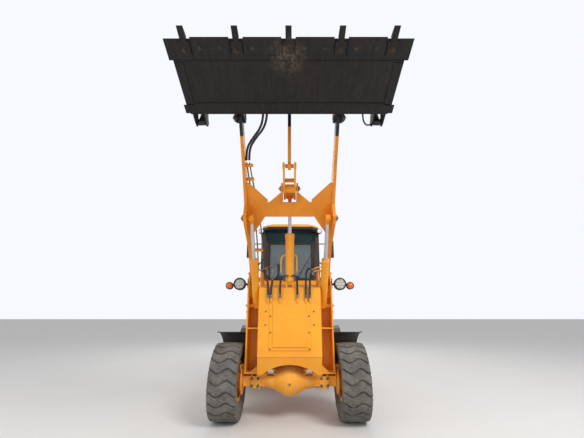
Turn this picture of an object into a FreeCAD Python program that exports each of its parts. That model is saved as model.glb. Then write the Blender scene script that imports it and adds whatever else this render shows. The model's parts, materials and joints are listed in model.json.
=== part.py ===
import FreeCAD, Part
import math
import os

V = FreeCAD.Vector

# All sizes are millimetres. X runs across the loader, the loader faces -Y, Z is up.
# While it is drawn, Y = 0 is the front axle and Z = 0 is the ground.

# Wheels
tyre_diameter = 1070.0
tyre_width = 400.0
lug_count = 23
lug_depth = 25.0
lug_groove = 28.0
lug_wave = 55.0
width_over_tyres = 2250.0
wheelbase = 2600.0
rim_diameter = 508.0
rim_wall = 14.0
rim_width = 330.0
rim_flange = 22.0
rim_lip = 12.0
wheel_disc_thickness = 18.0
hub_radius = 120.0
spindle_radius = 50.0
running_fit = 0.08
brake_disc_radius = 190.0
brake_disc_thickness = 16.0

# Axles
axle_arm_half = 70.0
axle_bulge_radius = 205.0
axle_bulge_reach = 440.0
axle_bulge_waist = 230.0
axle_cover_half = 70.0
axle_plug_radius, axle_plug_height = 30.0, 6.0

# Clearances
gap = 6.0
side_gap = 8.0
slide_gap = 3.0
seat_gap = 0.3

# Hydraulic cylinders in general
collar_growth = 1.08
collar_length = 60.0
eye_growth = 1.8
bore_wall = 20.0
piston_length = 25.0

# Front frame
tyre_to_tower = 50.0
tower_outer_x = width_over_tyres / 2 - tyre_width - tyre_to_tower
tower_plate = 22.0
channel_width = 181.0
inner_plate_x = tower_outer_x - tower_plate - channel_width
cover_y = -300.0
cover_top_z = 1880.0
cover_bottom_z = 890.0
tower_rear_y = 430.0
tower_low_front_y = -130.0
tower_top_z = 2150.0
tower_shoulder_z = 1750.0
tower_base_z = 640.0
apron_lean = 80.0
arch_radius, arch_top_z = 654.0, 784.0
channel_shelf_z = 1270.0
hatch_half_width, hatch_low_z, hatch_high_z = 310.0, 983.0, 1700.0
panel_half_width, panel_low_z, panel_high_z = 260.0, 1021.0, 1640.0
chassis_half_width = 220.0
chassis_top_z = 990.0
chassis_bottom_z = 480.0
chassis_plate = 30.0
pivot_y = 1300.0
pivot_pin_radius = 45.0
pivot_lug_radius = 130.0
pivot_pin_length = 130.0
lug_plate = 40.0
box_gap_to_pivot = 150.0

# Headlamps and turn signals
headlamp_y, headlamp_z = -100.0, 1950.0
headlamp_x, headlamp_radius = tower_outer_x + 127.0, 96.0
signal_x, signal_radius = headlamp_x + 165.0, 58.0

# Lift arms, measured from the arm pivot
arm_pivot_y, arm_pivot_z = 80.0, 2040.0
bucket_pin_y, bucket_pin_z = -1712.0, 3935.0
arm_inner_x = tower_outer_x - 70.0
arm_thickness = 42.0
beam_gusset_plate = 22.0
arm_pin_radius = 40.0
bucket_pin_radius = 32.0

# Lift cylinders
lift_base_y, lift_base_z = 0.0, 1620.0
lift_eye_y, lift_eye_z = -1000.0, 2790.0
lift_cylinder_x = arm_inner_x - 66.5
lift_barrel_radius = 56.0
lift_rod_radius = 28.0
lift_barrel_length = 850.0
lift_stroke = 640.0
lift_pin_radius = 30.0
lift_eye_width = 62.0

# Tilt linkage: along the arm and above its centre line
rocker_pin_u, rocker_pin_v = 1660.0, -80.0
rocker_link_u, rocker_link_v = 2030.0, -220.0
rocker_rod_u, rocker_rod_v = 1400.0, 240.0
rocker_plate = 25.0
rocker_plate_x = 62.0
rocker_pin_radius = 32.0
tilt_base_y, tilt_base_z = -300.0, 2005.0
tilt_barrel_radius = 66.0
tilt_rod_radius = 28.0
tilt_barrel_length = 700.0
tilt_stroke = 190.0
tilt_neck = 85.0
tilt_pin_radius = 28.0
tilt_eye_width = 62.0
tilt_ear_plate = 25.0
link_width = 44.0
link_pin_radius = 26.0
link_ear = 25.0

# Bucket, along its floor and square to it, measured from the heel
bucket_width = 2500.0
floor_angle = 21.0
bucket_pin_back, bucket_pin_up = 200.0, 200.0
bucket_link_back, bucket_link_up = 185.0, 540.0
bucket_depth = 830.0
side_plate_inset = 40.0
plate_thin = 16.0
floor_plate = 20.0
edge_plate = 30.0
edge_depth = 190.0
tooth_length = 120.0
tooth_width = 60.0
tooth_shank_width = 112.0
tooth_count = 5
tooth_span = 2100.0
blade_thickness = 14.0
blade_width = 384.0
wear_strip_half = 1110.0
clam_pivot_forward, clam_pivot_up = -30.0, 860.0
clam_ear_back, clam_ear_up = 200.0, 930.0
clam_base_back, clam_base_up = 190.0, 90.0
clam_cylinder_x = bucket_width / 2 - 140.0
clam_barrel_radius = 45.0
clam_rod_radius = 20.0
clam_barrel_length = 500.0
clam_stroke = 165.0
clam_pin_radius = 22.0
clam_ear_plate = 20.0
clam_eye_width = 84.0
clam_pivot_pin_radius = 30.0
clam_pivot_pin_length = 110.0

# Steering cylinders
steer_z = 700.0
steer_base_x, steer_base_y = 390.0, 1620.0
steer_eye_x, steer_eye_y = 350.0, 760.0
steer_barrel_radius = 40.0
steer_rod_radius = 20.0
steer_barrel_length = 545.0
steer_stroke = 215.0
steer_neck = 90.0
steer_eye_radius = 42.0
steer_pin_radius = 22.0
steer_eye_height = 2 * steer_barrel_radius + 6.0
steer_ear = 22.0
steer_ear_reach = 50.0

# Cab
cab_front_y, cab_rear_y = 860.0, 2130.0
cab_floor_z, cab_sill_z, cab_eave_z = 1270.0, 2100.0, 3130.0
screen_low_half, screen_high_half = 456.0, 520.0
screen_low_z, screen_high_z = 2131.0, 3105.0
cab_half_width = 580.0
cab_wall = 50.0
roof_thickness = 75.0
roof_crown = 35.0
roof_half_width = 575.0
roof_front_half = 440.0
glass_thickness = 6.0
work_lamp_x, work_lamp_z = 585.0, 3075.0
work_lamp_radius, work_lamp_depth = 50.0, 60.0
window_high_z = cab_eave_z - 60.0
rear_window_half = 490.0
rear_window_low_z = cab_sill_z + 30.0
side_window_low_z = cab_sill_z - 60.0
side_window_front_y, side_window_rear_y = cab_front_y + 180.0, cab_rear_y - 180.0
pane_inset = 20.0
mirror_x, mirror_z, mirror_reach = 830.0, 2700.0, 35.0
door_front_y, door_rear_y = 1010.0, 1900.0
door_bottom_z, door_top_z = 1400.0, 3000.0
door_thickness, door_frame = 45.0, 70.0
door_window_low_z = cab_sill_z - 330.0
door_hinge_x = cab_half_width + 16.0
door_hinge_y = door_rear_y + 3.0
door_hinge_levels = (1480.0, 2200.0, 2860.0)
door_hinge_pin_radius = 7.0
door_knuckle_radius = 12.0
door_knuckle_length = 60.0
door_bracket_height = 16.0

# Rear frame and hood
rear_box_half_width = 330.0
rear_end_y = 3950.0
rear_frame_bottom, rear_frame_top = 640.0, 1100.0
nose_bottom = 400.0
steer_window_top = 770.0
steer_window_rear_y = 1590.0
tank_inner_x = 480.0
tank_rear_y = wheelbase - tyre_diameter / 2 - 185.0
tank_front_y = tank_rear_y - 360.0
tank_outer_x, tank_low_z, tank_high_z = 760.0, 700.0, 1060.0
step_outer_x, step_low_z, step_high_z = 900.0, 420.0, 740.0
step_plate, step_hanger = 20.0, 12.0
engine_front_y, engine_rear_y, engine_low_z = 2450.0, 3500.0, 760.0
exhaust_x, exhaust_y, exhaust_top_z = -330.0, 3250.0, 2750.0
exhaust_pipe_radius, exhaust_can_radius, exhaust_can_top_z = 38.0, 75.0, 2450.0
hood_front_y, hood_rear_y = 2220.0, 3900.0
hood_half_width = 520.0
hood_bottom_z, hood_top_z = 1230.0, 1960.0
hood_wall = 30.0
grille_half, grille_low_z, grille_high_z = 430.0, hood_bottom_z + 80.0, hood_top_z - 150.0
grille_slats, grille_slat_height, grille_margin = 9, 22.0, 30.0
counterweight_depth = 260.0
tow_hole_radius = 22.0
tow_hole_back = 70.0
tow_mouth_z0, tow_mouth_z1 = 800.0, 890.0

bucket_side_x = bucket_width / 2 - side_plate_inset
moldboard_half = bucket_side_x - plate_thin - side_gap
wheel_x = (width_over_tyres - tyre_width) / 2
axle_z = tyre_diameter / 2

link_ear_x = link_width / 2 + side_gap
clam_ear_inner = clam_barrel_radius * collar_growth + side_gap - 3
steer_ear_levels = (
    steer_z - steer_eye_height / 2 - slide_gap - steer_ear,
    steer_z + steer_eye_height / 2 + slide_gap,
)

nodes = {}


def add(name, shapes):
    """Keep one node: a shape, or a list of shapes that stay apart."""
    nodes[name] = shapes if isinstance(shapes, list) else [shapes]


def union(shapes):
    """Join touching or overlapping solids into one."""
    joined = shapes[0].multiFuse(shapes[1:]) if len(shapes) > 1 else shapes[0]
    return joined.removeSplitter()


def side_prism(points, x0, x1):
    """A flat plate seen from the side: a (y, z) outline carried from x0 to x1."""
    wire = Part.makePolygon([V(x0, y, z) for y, z in points + points[:1]])
    return Part.Face(wire).extrude(V(x1 - x0, 0, 0))


def plan_prism(points, z0, z1):
    """A plate seen from above: an (x, y) outline carried from z0 to z1."""
    wire = Part.makePolygon([V(x, y, z0) for x, y in points + points[:1]])
    return Part.Face(wire).extrude(V(0, 0, z1 - z0))


def front_prism(points, y0, y1):
    """A plate seen from the front: an (x, z) outline carried from y0 to y1."""
    wire = Part.makePolygon([V(x, y0, z) for x, z in points + points[:1]])
    return Part.Face(wire).extrude(V(0, y1 - y0, 0))


def block(x0, x1, y0, y1, z0, z1):
    return Part.makeBox(x1 - x0, y1 - y0, z1 - z0, V(x0, y0, z0))


def cross_rod(y, z, radius, x0, x1):
    """A round bar lying across the loader."""
    return Part.makeCylinder(radius, x1 - x0, V(x0, y, z), V(1, 0, 0))


def rod(start, end, radius):
    return Part.makeCylinder(radius, (end - start).Length, start, end - start)


def mirrored(shape):
    return shape.mirror(V(0, 0, 0), V(1, 0, 0))


def revolved_across(profile, y, z):
    """Turn an (x, radius) profile about the cross axis through (y, z)."""
    wire = Part.makePolygon([V(x, y, z + r) for x, r in profile + profile[:1]])
    return Part.Face(wire).revolve(V(0, y, z), V(1, 0, 0), 360)


# The arm's own directions: u from its pivot to the bucket pin, v square to it and upwards.
arm_reach = arm_pivot_y - bucket_pin_y
arm_rise = bucket_pin_z - arm_pivot_z
arm_length = math.hypot(arm_reach, arm_rise)
arm_angle = math.atan2(arm_rise, arm_reach)


def on_arm(u, v):
    """The (y, z) place of a point u along the arm and v above its centre line."""
    y = arm_pivot_y - (math.cos(arm_angle) * u - math.sin(arm_angle) * v)
    z = arm_pivot_z + math.sin(arm_angle) * u + math.cos(arm_angle) * v
    return y, z


def from_arm(y, z):
    """The (u, v) of a point, along and above the arm."""
    forward, up = arm_pivot_y - y, z - arm_pivot_z
    u = math.cos(arm_angle) * forward + math.sin(arm_angle) * up
    v = -math.sin(arm_angle) * forward + math.cos(arm_angle) * up
    return u, v


# The bucket's own directions: f along the floor to the teeth, n square to it and upwards.
tilt = math.radians(floor_angle)
heel_y = bucket_pin_y - (bucket_pin_back * math.cos(tilt) + bucket_pin_up * math.sin(tilt))
heel_z = bucket_pin_z - (-bucket_pin_back * math.sin(tilt) + bucket_pin_up * math.cos(tilt))


def on_bucket(f, n):
    """The (y, z) place of a point f forward of the heel and n above the floor's underside."""
    y = heel_y - f * math.cos(tilt) + n * math.sin(tilt)
    z = heel_z + f * math.sin(tilt) + n * math.cos(tilt)
    return y, z


rocker_pin = on_arm(rocker_pin_u, rocker_pin_v)
rocker_link_pin = on_arm(rocker_link_u, rocker_link_v)
rocker_rod_pin = on_arm(rocker_rod_u, rocker_rod_v)
bucket_link_pin = on_bucket(-bucket_link_back, bucket_link_up)
clam_pivot = on_bucket(clam_pivot_forward, clam_pivot_up)
clam_ear = on_bucket(-clam_ear_back, clam_ear_up)
clam_base = on_bucket(-clam_base_back, clam_base_up)


def bar_between(a, b, half_width, x0, x1):
    """A flat bar with straight sides from one (y, z) point to another, without its eyes."""
    dy, dz = b[0] - a[0], b[1] - a[1]
    length = math.hypot(dy, dz)
    ny, nz = -dz / length * half_width, dy / length * half_width
    corners = [
        (a[0] + ny, a[1] + nz),
        (b[0] + ny, b[1] + nz),
        (b[0] - ny, b[1] - nz),
        (a[0] - ny, a[1] - nz),
    ]
    return side_prism(corners, x0, x1)


def cylinder_pair(base, eye, x, width, radii, lengths, pin_ends):
    """A hydraulic cylinder at one x: its barrel with base eye, and its rod with eye and pin."""
    barrel_radius, rod_radius, pin_radius = radii
    barrel_length, stroke, neck = lengths
    start, end = V(x, *base), V(x, *eye)
    along = (end - start).normalize()
    eye_radius = pin_radius * eye_growth
    base_eye = cross_rod(*base, eye_radius, x - width / 2, x + width / 2)
    waist = rod(start, start + along * (neck + bore_wall), 0.9 * min(width / 2, barrel_radius))
    tube = rod(start + along * neck, start + along * barrel_length, barrel_radius)
    collar_start = start + along * (barrel_length - collar_length)
    collar = rod(collar_start, start + along * barrel_length, barrel_radius * collar_growth)
    bore_start = start + along * (neck + bore_wall)
    bore = rod(bore_start, start + along * (barrel_length + 1), rod_radius + running_fit)
    pin_hole = cross_rod(*base, pin_radius + running_fit, x - width, x + width)
    barrel = union([base_eye, waist, tube, collar]).cut(bore).cut(pin_hole)
    rod_eye = cross_rod(*eye, eye_radius, x - width / 2, x + width / 2)
    pin = cross_rod(*eye, pin_radius, *pin_ends)
    shaft_start = start + along * (neck + bore_wall + piston_length + stroke)
    shaft = rod(shaft_start, end, rod_radius)
    return barrel, union([rod_eye, pin, shaft])


def tyre_ring(x, radius, wave, depth):
    """Points of one tyre section: for each lug its groove's floor, then the lug's two edges."""
    pitch = 2 * math.pi / lug_count
    edge = lug_groove / tyre_diameter
    turn = wave * lug_wave / tyre_diameter - math.pi / 2 - pitch / 2
    points = []
    for i in range(lug_count):
        start = i * pitch + turn
        for angle, r in ((start, radius - depth), (start + edge, radius), (start + pitch - edge, radius)):
            points.append(V(x, r * math.cos(angle), r * math.sin(angle)))
    return points


def lugged_tyre():
    """A tyre about the X axis: rings of points joined by flat triangles, with wavy grooves between its lugs."""
    half = tyre_width / 2
    pitch = 2 * math.pi / lug_count
    lowest_lug = pitch / 2 - (lug_groove + lug_wave) / tyre_diameter
    outer = tyre_diameter / 2 / math.cos(lowest_lug)
    bead = rim_diameter / 2 / math.cos(pitch / 2) + seat_gap
    bead_half = rim_width / 2 - rim_lip - 5
    # Across the tyre: place, radius, which way the groove waves, groove depth
    sections = [
        (-bead_half, bead, 0, 0.0),
        (-bead_half, bead + rim_flange + gap, 0, 0.0),
        (-half, outer - 62, 1, 4.0),
        (-half * 0.87, outer - 8, 1, lug_depth),
        (-half * 0.3, outer, -1, lug_depth),
        (half * 0.3, outer, 1, lug_depth),
        (half * 0.87, outer - 8, -1, lug_depth),
        (half, outer - 62, -1, 4.0),
        (bead_half, bead + rim_flange + gap, 0, 0.0),
        (bead_half, bead, 0, 0.0),
    ]
    rings = [tyre_ring(*section) for section in sections]
    faces = []
    for first, second in zip(rings, rings[1:] + rings[:1]):
        count = len(first)
        for i in range(count):
            k = (i + 1) % count
            for corners in ((first[i], first[k], second[k]), (first[i], second[k], second[i])):
                faces.append(Part.Face(Part.makePolygon(list(corners) + [corners[0]])))
    shell = Part.makeShell(faces)
    shell.sewShape()
    solid = Part.makeSolid(shell)
    if solid.Volume < 0:
        solid.reverse()
    return solid


def rim(side, y):
    """One wheel: drop-centre barrel, dished disc, hub and brake disc."""
    bead = rim_diameter / 2
    half = rim_width / 2
    disc_at = 40.0
    barrel = [
        (-half, bead - rim_wall),
        (-half, bead + rim_flange),
        (-half + rim_lip, bead + rim_flange),
        (-half + rim_lip + 4, bead),
        (half - rim_lip - 4, bead),
        (half - rim_lip, bead + rim_flange),
        (half, bead + rim_flange),
        (half, bead - rim_wall),
    ]
    disc = [
        (disc_at, 60.0),
        (disc_at, bead - rim_wall + 2),
        (disc_at + wheel_disc_thickness, bead - rim_wall + 2),
        (disc_at + wheel_disc_thickness, 60.0),
    ]
    hub = [
        (-222.0, spindle_radius + running_fit),
        (-222.0, hub_radius),
        (disc_at + 70, hub_radius),
        (disc_at + 90, hub_radius - 20),
        (disc_at + 90, 0.0),
        (disc_at + 60, 0.0),
        (disc_at + 60, spindle_radius + running_fit),
    ]
    brake = [
        (-215.0, 70.0),
        (-215.0, brake_disc_radius),
        (-215.0 + brake_disc_thickness, brake_disc_radius),
        (-215.0 + brake_disc_thickness, 70.0),
    ]
    centre = side * wheel_x
    rings = [
        revolved_across([(centre + side * x, r) for x, r in p], y, axle_z)
        for p in (barrel, disc, hub, brake)
    ]
    return union(rings)


def axle_middle(y):
    """The banjo housing: round at its cover, tapering below to the arms and cut flat above them."""
    shoulder = axle_arm_half + 52
    collar = axle_arm_half + 8
    half_profile = [
        (axle_cover_half, axle_bulge_radius),
        (axle_bulge_waist, shoulder),
        (axle_bulge_reach, collar),
        (axle_bulge_reach, 40),
    ]
    profile = half_profile + [(-x, r) for x, r in half_profile[::-1]]
    housing = revolved_across(profile, y, axle_z)
    reach_y = axle_bulge_radius + 45
    flat = block(
        axle_bulge_waist + 10,
        axle_bulge_reach + 1,
        y - reach_y,
        y + reach_y,
        axle_z + axle_arm_half,
        axle_z + reach_y,
    )
    plug_y = y - axle_bulge_radius - axle_plug_height
    plug = Part.makeCylinder(axle_plug_radius, 5 * axle_plug_height, V(0, plug_y, axle_z - 15), V(0, 1, 0))
    return [housing.cut(flat).cut(mirrored(flat)), plug]


def caliper(y, end_x):
    """A brake caliper over the disc, carried from the axle's end."""
    brake_x = wheel_x - 215.0
    near = end_x - 12
    body = block(near, wheel_x - rim_width / 2 - gap, y - 60, y + 60, axle_z + 125, axle_z + 225)
    slot_top = axle_z + brake_disc_radius + gap
    slot = block(brake_x - gap, brake_x + brake_disc_thickness + gap, y - 70, y + 70, axle_z + 100, slot_top)
    bridge = block(near, end_x, y - 60, y + 60, axle_z + 40, axle_z + 200)
    return body.cut(slot).fuse(bridge)


def axle(y):
    """A banjo axle: round middle, square arms, spring pads, spindles and a caliper at each brake disc."""
    arm_half = axle_arm_half
    end_x = wheel_x - 222.0 - gap
    tip = wheel_x + 40 + 60 - gap
    arms = block(-end_x, end_x, y - arm_half, y + arm_half, axle_z - arm_half, axle_z + arm_half)
    pad = block(axle_bulge_reach, 580, y - 95, y + 95, axle_z - 90, axle_z + arm_half)
    pieces = axle_middle(y) + [arms]
    for piece in (pad, cross_rod(y, axle_z, spindle_radius, 0, tip), caliper(y, end_x)):
        pieces += [piece, mirrored(piece)]
    return union(pieces)


def tower_side():
    """One side of the tower: two plates with a channel between them, and the pins across it."""
    outer_face = tower_outer_x - tower_plate
    tower = [
        (tower_low_front_y, tower_base_z),
        (tower_low_front_y, 1900),
        (-20, tower_top_z),
        (180, tower_top_z),
        (tower_rear_y, tower_shoulder_z),
        (tower_rear_y, tower_base_z),
    ]
    inner = [
        (cover_y + 20, cover_bottom_z),
        (cover_y + 20, cover_top_z),
        (tower_low_front_y, tower_top_z),
        (180, tower_top_z),
        (tower_rear_y, tower_shoulder_z),
        (tower_rear_y, tower_base_z),
        (tower_low_front_y, tower_base_z),
    ]
    gusset = [
        (inner_plate_x - 1, tower_base_z + 130),
        (inner_plate_x + 140, tower_base_z + 5),
        (inner_plate_x - 1, tower_base_z + 5),
    ]
    foot = [
        (cover_y, cover_bottom_z + 5),
        (cover_y + apron_lean, tower_base_z),
        (tower_low_front_y + 30, tower_base_z),
        (tower_low_front_y + 30, cover_bottom_z + 5),
    ]
    return [
        side_prism(tower, outer_face, tower_outer_x),
        side_prism(inner, inner_plate_x - tower_plate, inner_plate_x),
        side_prism(foot, inner_plate_x - tower_plate, inner_plate_x),
        block(inner_plate_x, outer_face, 200, 225, tower_base_z, tower_shoulder_z),
        block(inner_plate_x, outer_face, tower_low_front_y, 225, tower_base_z, tower_base_z + 25),
        block(inner_plate_x, outer_face, tower_low_front_y + 10, 225, channel_shelf_z, channel_shelf_z + 20),
        front_prism(gusset, tower_low_front_y, tower_low_front_y + 25),
        cross_rod(arm_pivot_y, arm_pivot_z, arm_pin_radius, inner_plate_x - tower_plate, tower_outer_x),
        cross_rod(lift_base_y, lift_base_z, lift_pin_radius, inner_plate_x - tower_plate, tower_outer_x),
    ]


def front_cover():
    """The plate across the tower's front, with its hatch, sloping top and leaning arched apron."""
    inside = inner_plate_x - tower_plate
    cover = block(-inner_plate_x, inner_plate_x, cover_y, cover_y + 20, cover_bottom_z, cover_top_z)
    hatch = block(-hatch_half_width, hatch_half_width, cover_y - 8, cover_y + 1, hatch_low_z, hatch_high_z)
    panel = block(-panel_half_width, panel_half_width, cover_y - 22, cover_y - 7, panel_low_z, panel_high_z)
    front_edges = [e for e in panel.Edges if e.BoundBox.YMax < cover_y - 21]
    panel = panel.makeChamfer(9, front_edges)
    top_outline = [
        (cover_y, cover_top_z - 20),
        (cover_y, cover_top_z),
        (tower_low_front_y, cover_top_z + 60),
        (tower_low_front_y, cover_top_z + 40),
    ]
    apron_outline = [
        (cover_y, cover_bottom_z),
        (cover_y + 20, cover_bottom_z),
        (cover_y + 20 + apron_lean, tower_base_z),
        (cover_y + apron_lean, tower_base_z),
    ]
    apron = side_prism(apron_outline, -inner_plate_x, inner_plate_x)
    arch = Part.makeCylinder(arch_radius, 300, V(0, cover_y - 50, arch_top_z - arch_radius), V(0, 1, 0))
    return [cover, hatch, panel, side_prism(top_outline, -inside, inside), apron.cut(arch)]


def front_chassis():
    """The box from the tower to the pivot, its two lugs, and the steering cylinders' ears."""
    half = chassis_half_width
    box_end = pivot_y - box_gap_to_pivot
    inside = inner_plate_x - tower_plate
    pieces = [
        block(-inside, inside, tower_rear_y - 25, tower_rear_y, chassis_top_z - 60, tower_shoulder_z),
        block(-inside - 15, inside + 15, 230, tower_rear_y, tower_base_z, tower_base_z + 40),
        block(-half, half, 250, 280, chassis_bottom_z, chassis_top_z),
    ]
    for z0 in (chassis_top_z, chassis_bottom_z - lug_plate):
        z1 = z0 + lug_plate
        deck = block(-half, half, 250, box_end, z0, z1)
        neck = block(-pivot_lug_radius, pivot_lug_radius, pivot_y - 200, pivot_y, z0, z1)
        lug = Part.makeCylinder(pivot_lug_radius, lug_plate, V(0, pivot_y, z0))
        hole = Part.makeCylinder(pivot_pin_radius + running_fit, lug_plate + 2, V(0, pivot_y, z0 - 1))
        pieces.append(union([deck, neck, lug]).cut(hole))
    wall = block(half - chassis_plate, half, 300, box_end, chassis_bottom_z, chassis_top_z)
    saddle_z = axle_z + axle_arm_half
    saddle = block(inner_plate_x - 130, inner_plate_x + 20, -100, 100, saddle_z, tower_base_z + 20)
    sides = [wall, saddle]
    for z0 in steer_ear_levels:
        reach = steer_eye_x + steer_ear_reach
        ear_y0, ear_y1 = steer_eye_y - 60, steer_eye_y + 60
        sides.append(block(half - chassis_plate, reach, ear_y0, ear_y1, z0, z0 + steer_ear))
    for piece in sides:
        pieces += [piece, mirrored(piece)]
    return pieces


def tilt_base_ears():
    """Two ears on top of the cover that hold the tilt cylinder's base pin."""
    x0 = tilt_eye_width / 2 + side_gap
    x1 = x0 + tilt_ear_plate
    outline = [
        (cover_y + 5, cover_top_z - 20),
        (cover_y - 30, tilt_base_z + 45),
        (tilt_base_y + 50, tilt_base_z + 45),
        (tower_low_front_y - 30, cover_top_z + 30),
    ]
    ear = side_prism(outline, x0, x1)
    return [ear, mirrored(ear), cross_rod(tilt_base_y, tilt_base_z, tilt_pin_radius, -x1, x1)]


def front_frame():
    """Tower, cover, chassis box and pivot lugs in one welded frame."""
    pieces = front_cover() + front_chassis() + tilt_base_ears()
    for piece in tower_side():
        pieces += [piece, mirrored(piece)]
    return union(pieces)


def under_arm_plate(points, v, thickness):
    """A flat plate square to the arms' sides: an (x, u) outline at height v, carried upwards."""
    wire = Part.makePolygon([V(x, *on_arm(u, v)) for x, u in points + points[:1]])
    upwards = V(0, math.sin(arm_angle), math.cos(arm_angle)) * thickness
    return Part.Face(wire).extrude(upwards)


def lift_arms():
    """Two arm plates with bosses, the crossbeam and the rocker's brackets."""
    eye_u, eye_v = from_arm(lift_eye_y, lift_eye_z)
    outline = [
        (-90, -40),
        (-60, -85),
        (700, -110),
        (eye_u - 130, eye_v - 30),
        (eye_u - 60, eye_v - 70),
        (eye_u + 60, eye_v - 70),
        (eye_u + 160, -150),
        (2000, -95),
        (arm_length - 60, -68),
        (arm_length + 50, -50),
        (arm_length + 68, 0),
        (arm_length + 50, 50),
        (2000, 80),
        (1200, 130),
        (400, 110),
        (-50, 85),
        (-90, 40),
    ]
    pieces = []
    outer_x = arm_inner_x + arm_thickness
    for side in (-1, 1):
        plate = side_prism([on_arm(u, v) for u, v in outline], arm_inner_x, outer_x)
        pivot_hole = cross_rod(
            arm_pivot_y, arm_pivot_z, arm_pin_radius + running_fit, arm_inner_x - 1, outer_x + 1
        )
        tip_hole = cross_rod(
            bucket_pin_y, bucket_pin_z, bucket_pin_radius + running_fit, arm_inner_x - 1, outer_x + 1
        )
        plate = plate.cut(pivot_hole).cut(tip_hole)
        head = cross_rod(lift_eye_y, lift_eye_z, 50, outer_x, outer_x + 8)
        for piece in (plate, head):
            pieces.append(piece if side > 0 else mirrored(piece))
    beam_outline = [(1235, -115), (1450, -115), (1450, -70), (1300, 15), (1235, 15)]
    beam = side_prism([on_arm(u, v) for u, v in beam_outline], -arm_inner_x, arm_inner_x)
    pieces.append(beam)
    corners = [
        [(arm_inner_x + 1, 1755), (arm_inner_x - 35, 1755), (314, 1500), (314, 1440), (arm_inner_x + 1, 1440)],
        [(arm_inner_x + 1, 1240), (367, 1240), (367, 1220), (arm_inner_x - 46, 930), (arm_inner_x + 1, 930)],
    ]
    for outline in corners:
        gusset = under_arm_plate(outline, -115, beam_gusset_plate)
        pieces += [gusset, mirrored(gusset)]
    bracket_outline = [
        (1440, -115),
        (rocker_pin_u - 40, rocker_pin_v - 75),
        (rocker_pin_u + 60, rocker_pin_v - 55),
        (rocker_pin_u + 75, rocker_pin_v + 30),
        (rocker_pin_u, rocker_pin_v + 70),
        (1440, 35),
        (1320, 5),
    ]
    bracket_x = rocker_plate_x + rocker_plate + side_gap
    for side in (-1, 1):
        bracket = side_prism(
            [on_arm(u, v) for u, v in bracket_outline], bracket_x, bracket_x + 25
        )
        pieces.append(bracket if side > 0 else mirrored(bracket))
    pin_hole = cross_rod(*rocker_pin, rocker_pin_radius + running_fit, -bracket_x - 30, bracket_x + 30)
    return union(pieces).cut(pin_hole)


def rocker_pin_piece():
    """The pin that the rocker turns on, held in the crossbeam's brackets."""
    reach = rocker_plate_x + rocker_plate + side_gap + 25
    hole_y, hole_z = rocker_pin
    return cross_rod(hole_y, hole_z, rocker_pin_radius, -reach, reach)


def rocker():
    """The rocker's two cheeks with a cross tube at its pin and one towards the link."""
    pieces = []
    for side in (-1, 1):
        outline = [
            (rocker_rod_u - 42, rocker_rod_v - 20),
            (rocker_rod_u - 42, rocker_rod_v + 30),
            (rocker_rod_u, rocker_rod_v + 52),
            (rocker_rod_u + 45, rocker_rod_v + 30),
            (rocker_pin_u + 70, rocker_pin_v + 50),
            (rocker_link_u + 40, rocker_link_v + 45),
            (rocker_link_u + 50, rocker_link_v - 20),
            (rocker_link_u, rocker_link_v - 55),
            (rocker_pin_u - 10, rocker_pin_v - 75),
            (rocker_pin_u - 50, rocker_pin_v - 40),
        ]
        cheek = side_prism(
            [on_arm(u, v) for u, v in outline], rocker_plate_x, rocker_plate_x + rocker_plate
        )
        pieces.append(cheek if side > 0 else mirrored(cheek))
    pieces.append(cross_rod(*rocker_pin, 62, -rocker_plate_x, rocker_plate_x))
    outside = rocker_plate_x + rocker_plate
    for y, z in (rocker_rod_pin, rocker_link_pin):
        boss = cross_rod(y, z, 38, outside, outside + 5)
        pieces += [boss, mirrored(boss)]
    hole = cross_rod(*rocker_pin, rocker_pin_radius + running_fit, -outside - 1, outside + 1)
    return union(pieces).cut(hole)


def link_pin_piece():
    """The pin through the bucket's middle ears."""
    reach = link_ear_x + link_ear
    return cross_rod(*bucket_link_pin, link_pin_radius, -reach, reach)


def tie_link():
    """The bar from the rocker to the bucket, with an eye at each end."""
    half = link_width / 2
    bar = bar_between(rocker_link_pin, bucket_link_pin, 34, -half, half)
    eyes = [cross_rod(y, z, 52, -half, half) for y, z in (rocker_link_pin, bucket_link_pin)]
    reach = rocker_plate_x - slide_gap
    rocker_end_pin = cross_rod(*rocker_link_pin, link_pin_radius, -reach, reach)
    hole = cross_rod(*bucket_link_pin, link_pin_radius + running_fit, -half - 1, half + 1)
    return union([bar, rocker_end_pin] + eyes).cut(hole)


def bucket_pins():
    """The two pins at the arm tips, each with its keeper plate."""
    y, z = bucket_pin_y, bucket_pin_z
    outer = arm_inner_x + arm_thickness
    pin = cross_rod(y, z, bucket_pin_radius, arm_inner_x - 45, outer + 45)
    keeper = cross_rod(y, z, 55, outer + 45, outer + 53)
    pin = union([pin, keeper])
    return [pin, mirrored(pin)]


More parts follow.
